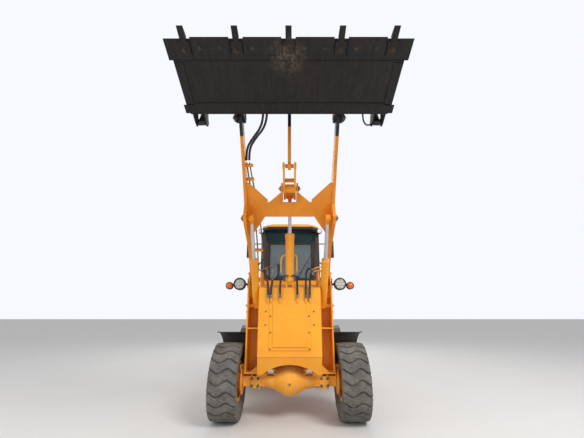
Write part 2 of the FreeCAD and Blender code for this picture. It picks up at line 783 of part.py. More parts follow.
def moldboard():
    """The bucket's back: curved plate, its own lower edge, ears for arms, link and clam."""
    back = [(0, 0), (-70, 130), (-112, 330), (-110, 560), (-70, 760), (0, 890)]
    front = [(f + plate_thin, n) for f, n in back]
    outline = back + front[::-1]
    half = moldboard_half
    pieces = [side_prism([on_bucket(f, n) for f, n in outline], -half, half)]
    edge = [(-6, -12), (-80, 100), (-66, 116), (14, -2), (14, -12)]
    pieces.append(side_prism([on_bucket(f, n) for f, n in edge], -half, half))
    arm_ear = [
        (-60, 90),
        (-bucket_pin_back + 10, bucket_pin_up - 65),
        (-bucket_pin_back - 50, bucket_pin_up - 45),
        (-bucket_pin_back - 62, bucket_pin_up + 10),
        (-bucket_pin_back - 20, bucket_pin_up + 62),
        (-100, 330),
    ]
    link_ear_outline = [
        (-100, bucket_link_up - 150),
        (-bucket_link_back, bucket_link_up - 60),
        (-bucket_link_back - 50, bucket_link_up - 20),
        (-bucket_link_back - 45, bucket_link_up + 40),
        (-bucket_link_back, bucket_link_up + 58),
        (-80, bucket_link_up + 150),
    ]
    clam_ear_low = [
        (-40, 40),
        (-clam_base_back + 20, clam_base_up - 50),
        (-clam_base_back - 40, clam_base_up - 35),
        (-clam_base_back - 45, clam_base_up + 30),
        (-clam_base_back, clam_base_up + 50),
        (-90, 220),
    ]
    outer = arm_inner_x + arm_thickness
    for side in (-1, 1):
        for x0, x1 in ((arm_inner_x - 38, arm_inner_x - 8), (outer + 8, outer + 38)):
            ear = side_prism([on_bucket(f, n) for f, n in arm_ear], x0, x1)
            hole = cross_rod(
                bucket_pin_y, bucket_pin_z, bucket_pin_radius + running_fit, x0 - 1, x1 + 1
            )
            ear = ear.cut(hole)
            pieces.append(ear if side > 0 else mirrored(ear))
        ear = side_prism([on_bucket(f, n) for f, n in link_ear_outline], link_ear_x, link_ear_x + link_ear)
        hole = cross_rod(
            *bucket_link_pin, link_pin_radius + running_fit, link_ear_x - 1, link_ear_x + link_ear + 1
        )
        ear = ear.cut(hole)
        pieces.append(ear if side > 0 else mirrored(ear))
        for x0 in (clam_cylinder_x - clam_ear_inner - clam_ear_plate, clam_cylinder_x + clam_ear_inner):
            ear = side_prism([on_bucket(f, n) for f, n in clam_ear_low], x0, x0 + clam_ear_plate)
            pieces.append(ear if side > 0 else mirrored(ear))
        reach = clam_ear_inner + clam_ear_plate
        pin = cross_rod(*clam_base, clam_pin_radius, clam_cylinder_x - reach, clam_cylinder_x + reach)
        pieces.append(pin if side > 0 else mirrored(pin))
    tube = cross_rod(*clam_pivot, 45, -half, half)
    body = union(pieces + [tube])
    bore = cross_rod(
        *clam_pivot,
        clam_pivot_pin_radius + running_fit,
        bucket_side_x - clam_pivot_pin_length - 1,
        bucket_side_x,
    )
    return body.cut(bore).cut(mirrored(bore))


def clam():
    """The clam: floor, wear strip, cutting edge with bolted blades, side plates with ears."""
    half = bucket_side_x
    floor = [
        (30, 0),
        (bucket_depth - edge_depth, 0),
        (bucket_depth - edge_depth, floor_plate),
        (30, floor_plate),
    ]
    pieces = [side_prism([on_bucket(f, n) for f, n in floor], -half + plate_thin, half - plate_thin)]
    edge = [
        (bucket_depth - edge_depth - 20, 0),
        (bucket_depth - edge_depth - 20, edge_plate),
        (bucket_depth - 30, edge_plate),
        (bucket_depth, 8),
        (bucket_depth, 0),
    ]
    pieces.append(side_prism([on_bucket(f, n) for f, n in edge], -bucket_width / 2, bucket_width / 2))
    strip = [(30, -10), (30, 1), (130, 1), (130, -10)]
    pieces.append(side_prism([on_bucket(f, n) for f, n in strip], -wear_strip_half, wear_strip_half))
    blade = [
        (bucket_depth - 150, -blade_thickness),
        (bucket_depth - 150, 1),
        (bucket_depth - 1, 1),
        (bucket_depth + 20, -blade_thickness / 2),
        (bucket_depth + 20, -blade_thickness),
    ]
    pitch = tooth_span / (tooth_count - 1)
    for i in range(tooth_count - 1):
        x = -tooth_span / 2 + pitch * (i + 0.5)
        pieces.append(side_prism([on_bucket(f, n) for f, n in blade], x - blade_width / 2, x + blade_width / 2))
    side_outline = [
        (30, 0),
        (bucket_depth - edge_depth, 0),
        (bucket_depth - 60, 60),
        (bucket_depth - 150, 300),
        (520, 620),
        (260, 840),
        (clam_pivot_forward + 20, clam_pivot_up + 70),
        (-clam_ear_back + 10, clam_ear_up + 50),
        (-clam_ear_back - 45, clam_ear_up),
        (-clam_ear_back + 20, clam_ear_up - 50),
        (clam_pivot_forward - 60, clam_pivot_up - 60),
        (60, 560),
        (20, 300),
    ]
    for side in (-1, 1):
        plate = side_prism([on_bucket(f, n) for f, n in side_outline], half - plate_thin, half)
        pieces.append(plate if side > 0 else mirrored(plate))
    hole = cross_rod(*clam_pivot, clam_pivot_pin_radius + running_fit, -half - 1, half + 1)
    return union(pieces).cut(hole)


def teeth():
    """Five teeth along the cutting edge: a broad shank bolted under it and a narrower tip."""
    pieces = []
    span = tooth_span
    shank = [
        (bucket_depth - 165, -blade_thickness),
        (bucket_depth - 165, 0),
        (bucket_depth - 20, 0),
        (bucket_depth - 20, -blade_thickness),
    ]
    outline = [
        (bucket_depth - 110, -14),
        (bucket_depth - 110, 0),
        (bucket_depth + 2, 0),
        (bucket_depth + 2, 30),
        (bucket_depth + 30, 26),
        (bucket_depth + tooth_length, -4),
        (bucket_depth + tooth_length, -14),
    ]
    for i in range(tooth_count):
        x = -span / 2 + span * i / (tooth_count - 1)
        plates = [
            side_prism([on_bucket(f, n) for f, n in points], x - width / 2, x + width / 2)
            for points, width in ((shank, tooth_shank_width), (outline, tooth_width))
        ]
        pieces.append(union(plates))
    return pieces


def clam_pivot_pins():
    """A short pin at each end of the moldboard's top tube."""
    half = bucket_side_x
    pin = cross_rod(*clam_pivot, clam_pivot_pin_radius, half - clam_pivot_pin_length, half + 12)
    return [pin, mirrored(pin)]


def fender(y, start, stop, radius, x0, x1):
    """A quarter-round mudguard between two angles, 8 mm thick."""
    thickness = 8.0
    steps = 8
    angles = [math.radians(start + (stop - start) * i / steps) for i in range(steps + 1)]
    outer = [
        (y + (radius + thickness) * math.cos(a), axle_z + (radius + thickness) * math.sin(a))
        for a in angles
    ]
    inner = [(y + radius * math.cos(a), axle_z + radius * math.sin(a)) for a in angles]
    return side_prism(outer + inner[::-1], x0, x1)


def front_fenders():
    shell = fender(0, 92, 12, 680, tower_outer_x, width_over_tyres / 2 + 15)
    return [shell, mirrored(shell)]


def headlamps():
    """Two bars off the tower, each with a round lamp and a turn signal."""
    bar_z, bar_end = headlamp_z, signal_x + 25
    bar = block(tower_outer_x, bar_end, headlamp_y + 20, headlamp_y + 50, bar_z - 15, bar_z + 15)
    lamp = Part.makeCylinder(headlamp_radius, 80, V(headlamp_x, headlamp_y - 60, bar_z), V(0, 1, 0))
    signal = Part.makeCylinder(signal_radius, 60, V(signal_x, headlamp_y - 40, bar_z - 25), V(0, 1, 0))
    plate = block(tower_outer_x, tower_outer_x + 8, headlamp_y - 20, headlamp_y + 60, bar_z - 60, bar_z + 60)
    piece = union([bar, lamp, signal, plate])
    return [piece, mirrored(piece)]


def rear_frame():
    """The rear chassis: two long plates, decks, pivot lugs and pins, axle saddle, hood rails."""
    y0 = pivot_y + box_gap_to_pivot
    x0, x1 = rear_box_half_width - chassis_plate, rear_box_half_width
    pieces = []
    for side in (-1, 1):
        upper = block(x0, x1, y0, rear_end_y, steer_window_top, rear_frame_top)
        lower = block(x0, x1, steer_window_rear_y, rear_end_y, rear_frame_bottom, steer_window_top)
        nose = block(x0, x1, steer_window_rear_y, 1900, nose_bottom, rear_frame_bottom)
        saddle = block(
            x0 - 30, x1 + 60, wheelbase - 110, wheelbase + 110, axle_z + axle_arm_half, rear_frame_bottom + 20
        )
        rail = block(
            hood_half_width - hood_wall,
            hood_half_width,
            hood_front_y,
            hood_rear_y,
            rear_frame_top,
            hood_bottom_z - seat_gap,
        )
        outriggers = [
            block(x1, hood_half_width, y, y + 40, rear_frame_top - 40, rear_frame_top + 20)
            for y in (hood_front_y + 10, wheelbase + 400, hood_rear_y - 60)
        ]
        ears = [
            block(x0, steer_base_x + steer_ear_reach, steer_base_y - 60, steer_base_y + 60, z, z + steer_ear)
            for z in steer_ear_levels
        ]
        steer_pin = Part.makeCylinder(
            steer_pin_radius,
            steer_ear_levels[1] + steer_ear - steer_ear_levels[0],
            V(steer_base_x, steer_base_y, steer_ear_levels[0]),
        )
        for piece in [upper, lower, nose, saddle, rail, steer_pin] + outriggers + ears:
            pieces.append(piece if side > 0 else mirrored(piece))
    for z in (chassis_top_z + lug_plate + gap, chassis_bottom_z - lug_plate - gap - lug_plate):
        lug = block(-pivot_lug_radius, pivot_lug_radius, pivot_y, y0 + 60, z, z + lug_plate)
        lug = lug.fuse(Part.makeCylinder(pivot_lug_radius, lug_plate, V(0, pivot_y, z)))
        deck = block(-x1, x1, y0, y0 + 260, z, z + lug_plate)
        pieces.append(lug.fuse(deck))
        centre = z + lug_plate / 2 - (lug_plate + gap) / 2 * (1 if z > steer_z else -1)
        pieces.append(
            Part.makeCylinder(pivot_pin_radius, pivot_pin_length, V(0, pivot_y, centre - pivot_pin_length / 2))
        )
    pieces.append(block(-x1, x1, y0, y0 + 30, steer_window_top, chassis_top_z + lug_plate + gap + 1))
    pieces.append(block(-150, 150, y0, y0 + 30, nose_bottom, steer_window_top))
    pieces.append(
        block(-x1, x1, rear_end_y - chassis_plate, rear_end_y, rear_frame_bottom, rear_frame_top)
    )
    for y in (1500.0, 2000.0):
        pieces.append(block(-560, 560, y, y + 120, rear_frame_top, cab_floor_z - seat_gap))
    pieces.append(
        block(
            -hood_half_width + 40,
            hood_half_width - 40,
            hood_front_y - gap - chassis_plate,
            hood_front_y - gap,
            rear_frame_top,
            hood_top_z - 20,
        )
    )
    return union(pieces)


def steering_cylinder(side):
    """One articulation cylinder lying flat beside the pivot."""
    base = V(side * steer_base_x, steer_base_y, steer_z)
    eye = V(side * steer_eye_x, steer_eye_y, steer_z)
    along = (eye - base).normalize()
    lower = V(0, 0, steer_eye_height / 2)
    base_eye = Part.makeCylinder(steer_eye_radius, steer_eye_height, base - lower)
    waist = rod(base, base + along * (steer_neck + bore_wall), steer_eye_height / 2 - 2)
    tube = rod(base + along * steer_neck, base + along * steer_barrel_length, steer_barrel_radius)
    bore_start = base + along * (steer_neck + bore_wall)
    bore = rod(bore_start, base + along * (steer_barrel_length + 1), steer_rod_radius + running_fit)
    hole = Part.makeCylinder(steer_pin_radius + running_fit, steer_eye_height + 2, base - lower - V(0, 0, 1))
    barrel = union([base_eye, waist, tube]).cut(bore).cut(hole)
    rod_eye = Part.makeCylinder(steer_eye_radius, steer_eye_height, eye - lower)
    shaft_start = base + along * (steer_neck + bore_wall + steer_stroke)
    shaft = rod(shaft_start, eye, steer_rod_radius)
    return barrel, union([rod_eye, shaft])


def windscreen_outline():
    """The windscreen's shape, wider at its top, as a cutter through the cab's front."""
    points = [
        (-screen_low_half, screen_low_z),
        (screen_low_half, screen_low_z),
        (screen_high_half, screen_high_z),
        (-screen_high_half, screen_high_z),
    ]
    return front_prism(points, cab_front_y - 100, cab_front_y + 200)


def cab_shell():
    """Cab walls: a box with posts, sills and window openings, open at door and top."""
    outer = [
        (cab_front_y, cab_floor_z),
        (cab_front_y - 20, cab_sill_z),
        (cab_front_y + 60, cab_eave_z),
        (cab_rear_y - 60, cab_eave_z),
        (cab_rear_y, cab_sill_z),
        (cab_rear_y, cab_floor_z),
    ]
    inner = [
        (cab_front_y + cab_wall, cab_floor_z + 30),
        (cab_front_y - 20 + cab_wall, cab_sill_z),
        (cab_front_y + 60 + cab_wall, cab_eave_z + 1),
        (cab_rear_y - 60 - cab_wall, cab_eave_z + 1),
        (cab_rear_y - cab_wall, cab_sill_z),
        (cab_rear_y - cab_wall, cab_floor_z + 30),
    ]
    half = cab_half_width
    shell = side_prism(outer, -half, half).cut(
        side_prism(inner, -half + cab_wall, half - cab_wall)
    )
    front_window = windscreen_outline()
    rear_window = block(
        -rear_window_half,
        rear_window_half,
        cab_rear_y - 200,
        cab_rear_y + 50,
        rear_window_low_z,
        window_high_z,
    )
    right_window = block(
        -half - 10,
        -half + 100,
        side_window_front_y,
        side_window_rear_y,
        side_window_low_z,
        window_high_z,
    )
    door_hole = block(
        half - 100,
        half + 10,
        door_front_y - side_gap,
        door_rear_y + gap,
        door_bottom_z - gap,
        door_top_z + gap,
    )
    for cutter in (front_window, rear_window, right_window, door_hole):
        shell = shell.cut(cutter)
    pieces = [shell]
    for z in door_hinge_levels:
        bracket = block(
            half - 1, door_hinge_x, door_rear_y + gap, door_hinge_y + 40, z - door_bracket_height, z
        )
        boss = Part.makeCylinder(
            door_knuckle_radius, door_bracket_height, V(door_hinge_x, door_hinge_y, z - door_bracket_height)
        )
        pin = Part.makeCylinder(
            door_hinge_pin_radius,
            door_knuckle_length + door_bracket_height,
            V(door_hinge_x, door_hinge_y, z - door_bracket_height),
        )
        pieces += [bracket, boss, pin]
    return union(pieces)


def roof_plan(inset):
    """The roof seen from above, its front corners cut back, drawn in by the inset."""
    half, front_half = roof_half_width - inset, roof_front_half - inset
    front, rear = cab_front_y - 40 + inset, cab_rear_y + 40 - inset
    right = [(front_half, front), (half, front + 150), (half, rear - 60), (half - 60, rear)]
    return right + [(-x, y) for x, y in right[::-1]]


def cab_roof():
    """The cab's roof: a slab with a lower crown on it."""
    crown_z = cab_eave_z + roof_thickness
    slab = plan_prism(roof_plan(0), cab_eave_z, crown_z)
    crown = plan_prism(roof_plan(70), crown_z - 1, crown_z + roof_crown)
    return slab.fuse(crown)


def cab_glass():
    """Windscreen, rear and right-hand panes, each set in its opening."""
    half = cab_half_width
    windscreen = side_prism(
        [
            (cab_front_y, cab_sill_z),
            (cab_front_y + 80, cab_eave_z),
            (cab_front_y + 80 + glass_thickness, cab_eave_z),
            (cab_front_y + glass_thickness, cab_sill_z),
        ],
        -half,
        half,
    ).common(windscreen_outline())
    rear = side_prism(
        [
            (cab_rear_y - pane_inset - glass_thickness, rear_window_low_z),
            (cab_rear_y - 56 - pane_inset - glass_thickness, window_high_z),
            (cab_rear_y - 56 - pane_inset, window_high_z),
            (cab_rear_y - pane_inset, rear_window_low_z),
        ],
        -rear_window_half,
        rear_window_half,
    )
    right = block(
        -half + pane_inset,
        -half + pane_inset + glass_thickness,
        side_window_front_y,
        side_window_rear_y,
        side_window_low_z,
        window_high_z,
    )
    return [windscreen, rear, right]


def cab_door():
    half = cab_half_width
    leaf = block(half - door_thickness, half, door_front_y, door_rear_y, door_bottom_z, door_top_z)
    window = block(
        half - door_thickness - 15,
        half + 10,
        door_front_y + door_frame,
        door_rear_y - door_frame,
        door_window_low_z,
        door_top_z - door_frame,
    )
    pieces = [leaf.cut(window)]
    bores = []
    for z in door_hinge_levels:
        start = V(door_hinge_x, door_hinge_y, z + seat_gap)
        height = door_knuckle_length - seat_gap
        pieces.append(Part.makeCylinder(door_knuckle_radius, height, start))
        pieces.append(
            block(
                half - 1,
                door_hinge_x,
                door_rear_y - 25,
                door_hinge_y,
                z + seat_gap,
                z + door_knuckle_length,
            )
        )
        bores.append(
            Part.makeCylinder(door_hinge_pin_radius + running_fit, height + 2, start - V(0, 0, 1))
        )
    return union(pieces).cut(bores[0].multiFuse(bores[1:]))


def door_glass():
    half = cab_half_width
    return block(
        half - pane_inset - glass_thickness,
        half - pane_inset,
        door_front_y + door_frame,
        door_rear_y - door_frame,
        door_window_low_z,
        door_top_z - door_frame,
    )


def seat():
    base = block(-200, 200, 1560, 1940, cab_floor_z + 30, cab_floor_z + 330)
    cushion = block(-240, 240, 1500, 1960, cab_floor_z + 330, cab_floor_z + 450)
    back = side_prism(
        [
            (1880, cab_floor_z + 450),
            (1940, cab_floor_z + 1050),
            (2020, cab_floor_z + 1050),
            (1960, cab_floor_z + 450),
        ],
        -230,
        230,
    )
    return union([cushion, back]), base


def steering_column():
    """A leaning column with a two-spoke wheel; the wheel's rim is six-sided in section."""
    foot = V(0, 1060, cab_floor_z + 30)
    top = V(0, 1250, cab_floor_z + 830)
    along = (top - foot).normalize()
    column = rod(foot - along * 40, top, 35)
    column = column.cut(block(-100, 100, 900, 1200, cab_floor_z - 100, cab_floor_z + 30 + seat_gap))
    angles = [math.radians(60 * i) for i in range(6)]
    section = [top + V(190 + 15 * math.cos(a), 0, 0) + along * (15 * math.sin(a)) for a in angles]
    rim_face = Part.Face(Part.makePolygon(section + section[:1]))
    wheel_rim = rim_face.revolve(top, along, 360)
    spoke = rod(top + V(-188, 0, 0), top + V(188, 0, 0), 11)
    hub = rod(top - along * 25, top + along * 15, 40)
    return union([column, wheel_rim, spoke, hub])


def hood():
    """The engine hood: a shell open below, with a chamfered top edge."""
    half = hood_half_width
    outer = [
        (-half, hood_bottom_z),
        (-half, hood_top_z - 120),
        (-half + 110, hood_top_z),
        (half - 110, hood_top_z),
        (half, hood_top_z - 120),
        (half, hood_bottom_z),
    ]
    w = hood_wall
    inner = [
        (-half + w, hood_bottom_z - 1),
        (-half + w, hood_top_z - 120 - w / 2),
        (-half + 110 + w / 2, hood_top_z - w),
        (half - 110 - w / 2, hood_top_z - w),
        (half - w, hood_top_z - 120 - w / 2),
        (half - w, hood_bottom_z - 1),
    ]
    shell = front_prism(outer, hood_front_y, hood_rear_y)
    hollow = front_prism(inner, hood_front_y - 1, hood_rear_y - w)
    opening = block(
        -grille_half, grille_half, hood_rear_y - 60, hood_rear_y + 10, grille_low_z, grille_high_z
    )
    return shell.cut(hollow).cut(opening)


def grille():
    half = grille_half - grille_margin
    frame = block(-grille_half, grille_half, hood_rear_y - 28, hood_rear_y - 8, grille_low_z, grille_high_z)
    slots = []
    z0, z1 = grille_low_z + grille_margin, grille_high_z - grille_margin
    for i in range(grille_slats):
        z = z0 + (z1 - z0) * i / grille_slats
        slots.append(block(-half, half, hood_rear_y - 40, hood_rear_y, z, z + grille_slat_height))
    return frame.cut(slots[0].multiFuse(slots[1:]))


def engine():
    half = rear_box_half_width - chassis_plate - seat_gap
    return block(-half, half, engine_front_y, engine_rear_y, engine_low_z, hood_bottom_z + 300)


def counterweight():
    y0 = rear_end_y
    profile = [
        (-820, 700),
        (-820, 1120),
        (-700, 1210),
        (700, 1210),
        (820, 1120),
        (820, 700),
        (640, 600),
        (-640, 600),
    ]
    rear_y = y0 + counterweight_depth
    plan = [(-820, y0), (820, y0), (820, rear_y - 130), (690, rear_y), (-690, rear_y), (-820, rear_y - 130)]
    weight = front_prism(profile, y0, rear_y).common(plan_prism(plan, 500, 1300))
    mouth = block(-90, 90, rear_y - 150, rear_y + 1, tow_mouth_z0, tow_mouth_z1)
    relief = block(-90, 90, rear_y - 150, rear_y + 1, 590, tow_mouth_z0 - 60)
    cap_relief = block(-90, 90, rear_y - 150, rear_y + 1, tow_mouth_z1 + 60, 1220)
    hole = Part.makeCylinder(
        tow_hole_radius, 300, V(0, rear_y - tow_hole_back, tow_mouth_z0 - 100)
    )
    return weight.cut(mouth).cut(relief).cut(cap_relief).cut(hole)


def rear_fenders():
    shell = fender(wheelbase, 160, 35, 670, 560, width_over_tyres / 2 + 10)
    post = block(
        hood_half_width + seat_gap, 600, wheelbase - 60, wheelbase + 60, 1120, axle_z + 674
    )
    shell = union([shell, post])
    return [shell, mirrored(shell)]


def steps():
    """The fuel tank and battery box under the cab doors, each with two step treads."""
    y0, y1 = tank_front_y, tank_rear_y
    tread_x = tank_outer_x - 60
    tank = block(tank_inner_x, tank_outer_x, y0, y1, tank_low_z, tank_high_z)
    shelf = block(rear_box_half_width, tank_inner_x, y0 + 120, y1, steer_window_top + gap, tank_high_z)
    tread_low = block(tread_x, step_outer_x, y0 + 20, y1 - 20, step_low_z, step_low_z + step_plate)
    tread_high = block(tread_x, step_outer_x - 40, y0 + 20, y1 - 20, step_high_z, step_high_z + step_plate)
    hangers = [
        block(tread_x, tread_x + step_hanger, y, y + step_hanger, step_low_z, tank_high_z - 60)
        for y in (y0 + 20, y1 - 20 - step_hanger)
    ]
    piece = union([tank, shelf, tread_low, tread_high] + hangers)
    return [piece, mirrored(piece)]


def mirrors():
    """Side mirrors on bars from the cab's front posts."""
    y, z = cab_front_y + 60, mirror_z
    bar = cross_rod(y - 15, z + 130, 10, cab_half_width + seat_gap, mirror_x)
    head = block(mirror_x - mirror_reach, mirror_x + mirror_reach, y - 60, y, z - 150, z + 180)
    piece = bar.fuse(head)
    return [piece, mirrored(piece)]


def work_lamps():
    """A round lamp before each roof corner, hung from the roof on a bar."""
    y = cab_front_y - 40
    lamp = Part.makeCylinder(work_lamp_radius, work_lamp_depth, V(work_lamp_x, y, work_lamp_z), V(0, 1, 0))
    bar_top = cab_eave_z - seat_gap
    bar = block(roof_front_half - 60, work_lamp_x + 5, y + 25, y + 50, work_lamp_z + 35, bar_top)
    piece = lamp.fuse(bar)
    return [piece, mirrored(piece)]


def exhaust():
    foot = V(exhaust_x, exhaust_y, hood_top_z + seat_gap)
    pipe = rod(foot, V(exhaust_x, exhaust_y, exhaust_top_z), exhaust_pipe_radius)
    can_foot = V(exhaust_x, exhaust_y, hood_top_z + 60)
    can = rod(can_foot, V(exhaust_x, exhaust_y, exhaust_can_top_z), exhaust_can_radius)
    return pipe.fuse(can)


def build():
    tyre = lugged_tyre()
    for axle_name, y in (("front", 0.0), ("rear", wheelbase)):
        add(f"{axle_name}_axle", axle(y))
        for side_name, side in (("left", 1), ("right", -1)):
            add(f"{axle_name}_{side_name}_tyre", tyre.translated(V(side * wheel_x, y, axle_z)))
            add(f"{axle_name}_{side_name}_wheel", rim(side, y))
    add("front_frame", front_frame())
    add("lift_arms", lift_arms())
    add("rocker_pin", rocker_pin_piece())
    add("rocker", rocker())
    add("link_pin", link_pin_piece())
    add("tie_link", tie_link())
    add("bucket_pins", bucket_pins())
    add("bucket_moldboard", moldboard())
    add("bucket_clam", clam())
    add("bucket_teeth", teeth())
    add("clam_pivot_pins", clam_pivot_pins())
    barrel, piston_rod = cylinder_pair(
        (lift_base_y, lift_base_z),
        (lift_eye_y, lift_eye_z),
        lift_cylinder_x,
        lift_eye_width,
        (lift_barrel_radius, lift_rod_radius, lift_pin_radius),
        (lift_barrel_length, lift_stroke, lift_pin_radius * eye_growth * 0.8),
        (lift_cylinder_x, arm_inner_x - slide_gap),
    )
    add("lift_cylinder_barrels", [barrel, mirrored(barrel)])
    add("lift_cylinder_rods", [piston_rod, mirrored(piston_rod)])
    barrel, piston_rod = cylinder_pair(
        (tilt_base_y, tilt_base_z),
        rocker_rod_pin,
        0.0,
        tilt_eye_width,
        (tilt_barrel_radius, tilt_rod_radius, tilt_pin_radius),
        (tilt_barrel_length, tilt_stroke, tilt_neck),
        (slide_gap - rocker_plate_x, rocker_plate_x - slide_gap),
    )
    add("tilt_cylinder_barrel", barrel)
    add("tilt_cylinder_rod", piston_rod)
    barrel, piston_rod = cylinder_pair(
        clam_base,
        clam_ear,
        clam_cylinder_x,
        clam_eye_width,
        (clam_barrel_radius, clam_rod_radius, clam_pin_radius),
        (clam_barrel_length, clam_stroke, clam_pin_radius * eye_growth * 0.8),
        (clam_cylinder_x, bucket_side_x - plate_thin - slide_gap),
    )
    add("clam_cylinder_barrels", [barrel, mirrored(barrel)])
    add("clam_cylinder_rods", [piston_rod, mirrored(piston_rod)])
    for side_name, side in (("left", 1), ("right", -1)):
        barrel, piston_rod = steering_cylinder(side)
        add(f"steering_cylinder_{side_name}_barrel", barrel)
        add(f"steering_cylinder_{side_name}_rod", piston_rod)
    add("front_fenders", front_fenders())
    add("headlamps", headlamps())
    add("rear_frame", rear_frame())
    add("cab_shell", cab_shell())
    add("cab_roof", cab_roof())
    add("cab_glass", cab_glass())
    add("cab_door", cab_door())
    add("door_glass", door_glass())
    cushion, base = seat()
    add("seat", cushion)
    add("seat_base", base)
    add("steering_column", steering_column())
    add("engine_hood", hood())
    add("hood_grille", grille())
    add("engine_block", engine())
    add("counterweight", counterweight())
    add("rear_fenders", rear_fenders())
    add("step_tanks", steps())
    add("cab_mirrors", mirrors())
    add("work_lamps", work_lamps())
    add("exhaust_stack", exhaust())


def overall_box():
    box = FreeCAD.BoundBox()
    for solids in nodes.values():
        for solid in solids:
            box.add(solid.BoundBox)
    return box


build()
box = overall_box()
origin_y = (box.YMin + box.YMax) / 2
os.makedirs("parts", exist_ok=True)
for name, solids in nodes.items():
    moved = [s.translated(V(0, -origin_y, 0)) for s in solids]
    shape = moved[0] if len(moved) == 1 else Part.makeCompound(moved)
    shape.exportStep(f"parts/{name}.step")
print("origin_y", round(origin_y, 2), "box", box)
for name, solids in nodes.items():
    for solid in solids:
        if not solid.isValid() or len(solid.Solids) != 1:
            print("look at", name, solid.isValid(), len(solid.Solids))
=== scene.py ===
import json
import math

import bmesh
import bpy
import numpy as np
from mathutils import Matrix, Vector


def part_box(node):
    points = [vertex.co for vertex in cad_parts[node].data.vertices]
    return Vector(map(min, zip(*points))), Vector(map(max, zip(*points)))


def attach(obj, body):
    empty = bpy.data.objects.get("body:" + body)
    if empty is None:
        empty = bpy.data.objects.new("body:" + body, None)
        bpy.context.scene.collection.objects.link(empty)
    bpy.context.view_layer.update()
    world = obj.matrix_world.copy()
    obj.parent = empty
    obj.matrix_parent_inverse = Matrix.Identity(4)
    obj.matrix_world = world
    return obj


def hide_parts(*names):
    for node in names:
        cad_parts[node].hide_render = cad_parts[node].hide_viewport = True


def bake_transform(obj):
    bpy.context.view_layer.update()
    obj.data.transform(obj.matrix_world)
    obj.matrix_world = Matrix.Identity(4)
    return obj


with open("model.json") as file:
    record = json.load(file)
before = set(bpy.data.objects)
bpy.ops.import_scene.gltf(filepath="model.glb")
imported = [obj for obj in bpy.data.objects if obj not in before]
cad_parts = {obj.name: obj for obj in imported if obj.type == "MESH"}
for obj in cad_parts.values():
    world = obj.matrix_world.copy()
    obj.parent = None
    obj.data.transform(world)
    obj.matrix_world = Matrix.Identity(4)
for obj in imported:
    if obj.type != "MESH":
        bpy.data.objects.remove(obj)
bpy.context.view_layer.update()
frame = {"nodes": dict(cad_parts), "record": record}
nodes = frame["nodes"]

# Places of the joints, and the frame's Y of the front axle. The front of the loader is towards -Y.
behaviour = frame["record"]["behaviour"]
hinge_at = {joint["name"]: np.array(joint["pos_m"]) for joint in behaviour["joints"] if "pos_m" in joint}
front_axle_y = float(hinge_at["front_left_roll"][1])
wheelbase, axle_z = 2.600, 0.535
lift_cylinder_x, clam_cylinder_x, tower_side_x = 0.5385, 1.110, 0.675

# Camera, worked out from the tyres and the upright lines of the photograph
camera_distance = 5.11
camera_height = 1.53
camera_pitch = 16.9
camera_side = 0.034
lens_mm = 18.74
sensor_mm = 36.0


def spot(points):
    """Loader coordinates, with Y from the front axle, turned to the frame's, for one point or an array."""
    return np.asarray(points, float) + np.array([0.0, front_axle_y, 0.0])


# The arms' and the bucket's own directions, as in the frame's drawing
arm_pivot = np.array([0.080, 2.040])
bucket_pin = np.array([-1.712, 3.935])
arm_angle = math.atan2(bucket_pin[1] - arm_pivot[1], arm_pivot[0] - bucket_pin[0])
floor_angle = math.radians(21.0)
heel = bucket_pin + np.array([-0.2 * math.cos(floor_angle) - 0.2 * math.sin(floor_angle),
                              0.2 * math.sin(floor_angle) - 0.2 * math.cos(floor_angle)])


def on_arm(x, u, v):
    """Loader coordinates of a point u along an arm and v above its middle line."""
    return [x, arm_pivot[0] - math.cos(arm_angle) * u + math.sin(arm_angle) * v,
            arm_pivot[1] + math.sin(arm_angle) * u + math.cos(arm_angle) * v]


def on_bucket(x, f, n):
    """Loader coordinates of a point f forward along the bucket's floor and n above its underside."""
    return [x, heel[0] - f * math.cos(floor_angle) + n * math.sin(floor_angle),
            heel[1] + f * math.sin(floor_angle) + n * math.cos(floor_angle)]


def linear(red, green, blue):
    """A colour given as 0 to 255 screen values, turned to linear light."""
    part = np.array([red, green, blue]) / 255.0
    low, high = part / 12.92, ((part + 0.055) / 1.055) ** 2.4
    return (*np.where(part <= 0.04045, low, high).tolist(), 1.0)


def put(tree, kind, settings=None, **inputs):
    """Add a shader node. Inputs are values or other nodes' sockets, named with _ for a space."""
    made = tree.nodes.new("ShaderNode" + kind)
    for key, value in (settings or {}).items():
        setattr(made, key, value)
    for key, value in inputs.items():
        numbered = key[0] == "i" and key[1:].isdigit()
        socket = made.inputs[int(key[1:]) if numbered else key.replace("_", " ")]
        if isinstance(value, bpy.types.NodeSocket):
            tree.links.new(value, socket)
        else:
            socket.default_value = value
    return made


def ramp(tree, value, low, high):
    """A smooth step of a value between two bounds."""
    made = put(tree, "MapRange", {"interpolation_type": "SMOOTHSTEP"}, Value=value, From_Min=low,
               From_Max=high)
    return made.outputs[0]


def mixed(tree, factor, first, second):
    """The second colour laid over the first by a factor."""
    return put(tree, "MixRGB", None, Fac=factor, Color1=first, Color2=second).outputs[0]


def times(tree, a, b, operation="MULTIPLY"):
    """Two values multiplied, or put together by another operation."""
    return put(tree, "Math", {"operation": operation}, i0=a, i1=b).outputs[0]


def blank(name):
    """A new material with its node tree, its principled shader and object coordinates."""
    made = bpy.data.materials.new(name)
    made.use_nodes = True
    tree = made.node_tree
    shader = tree.nodes["Principled BSDF"]
    place = put(tree, "TexCoord").outputs["Object"]
    return made, tree, shader, place


def noise(tree, place, scale, detail=6.0, roughness=0.6):
    """Fractal noise at a place, from 0 to 1."""
    return put(tree, "TexNoise", None, Vector=place, Scale=scale, Detail=detail,
               Roughness=roughness).outputs[0]


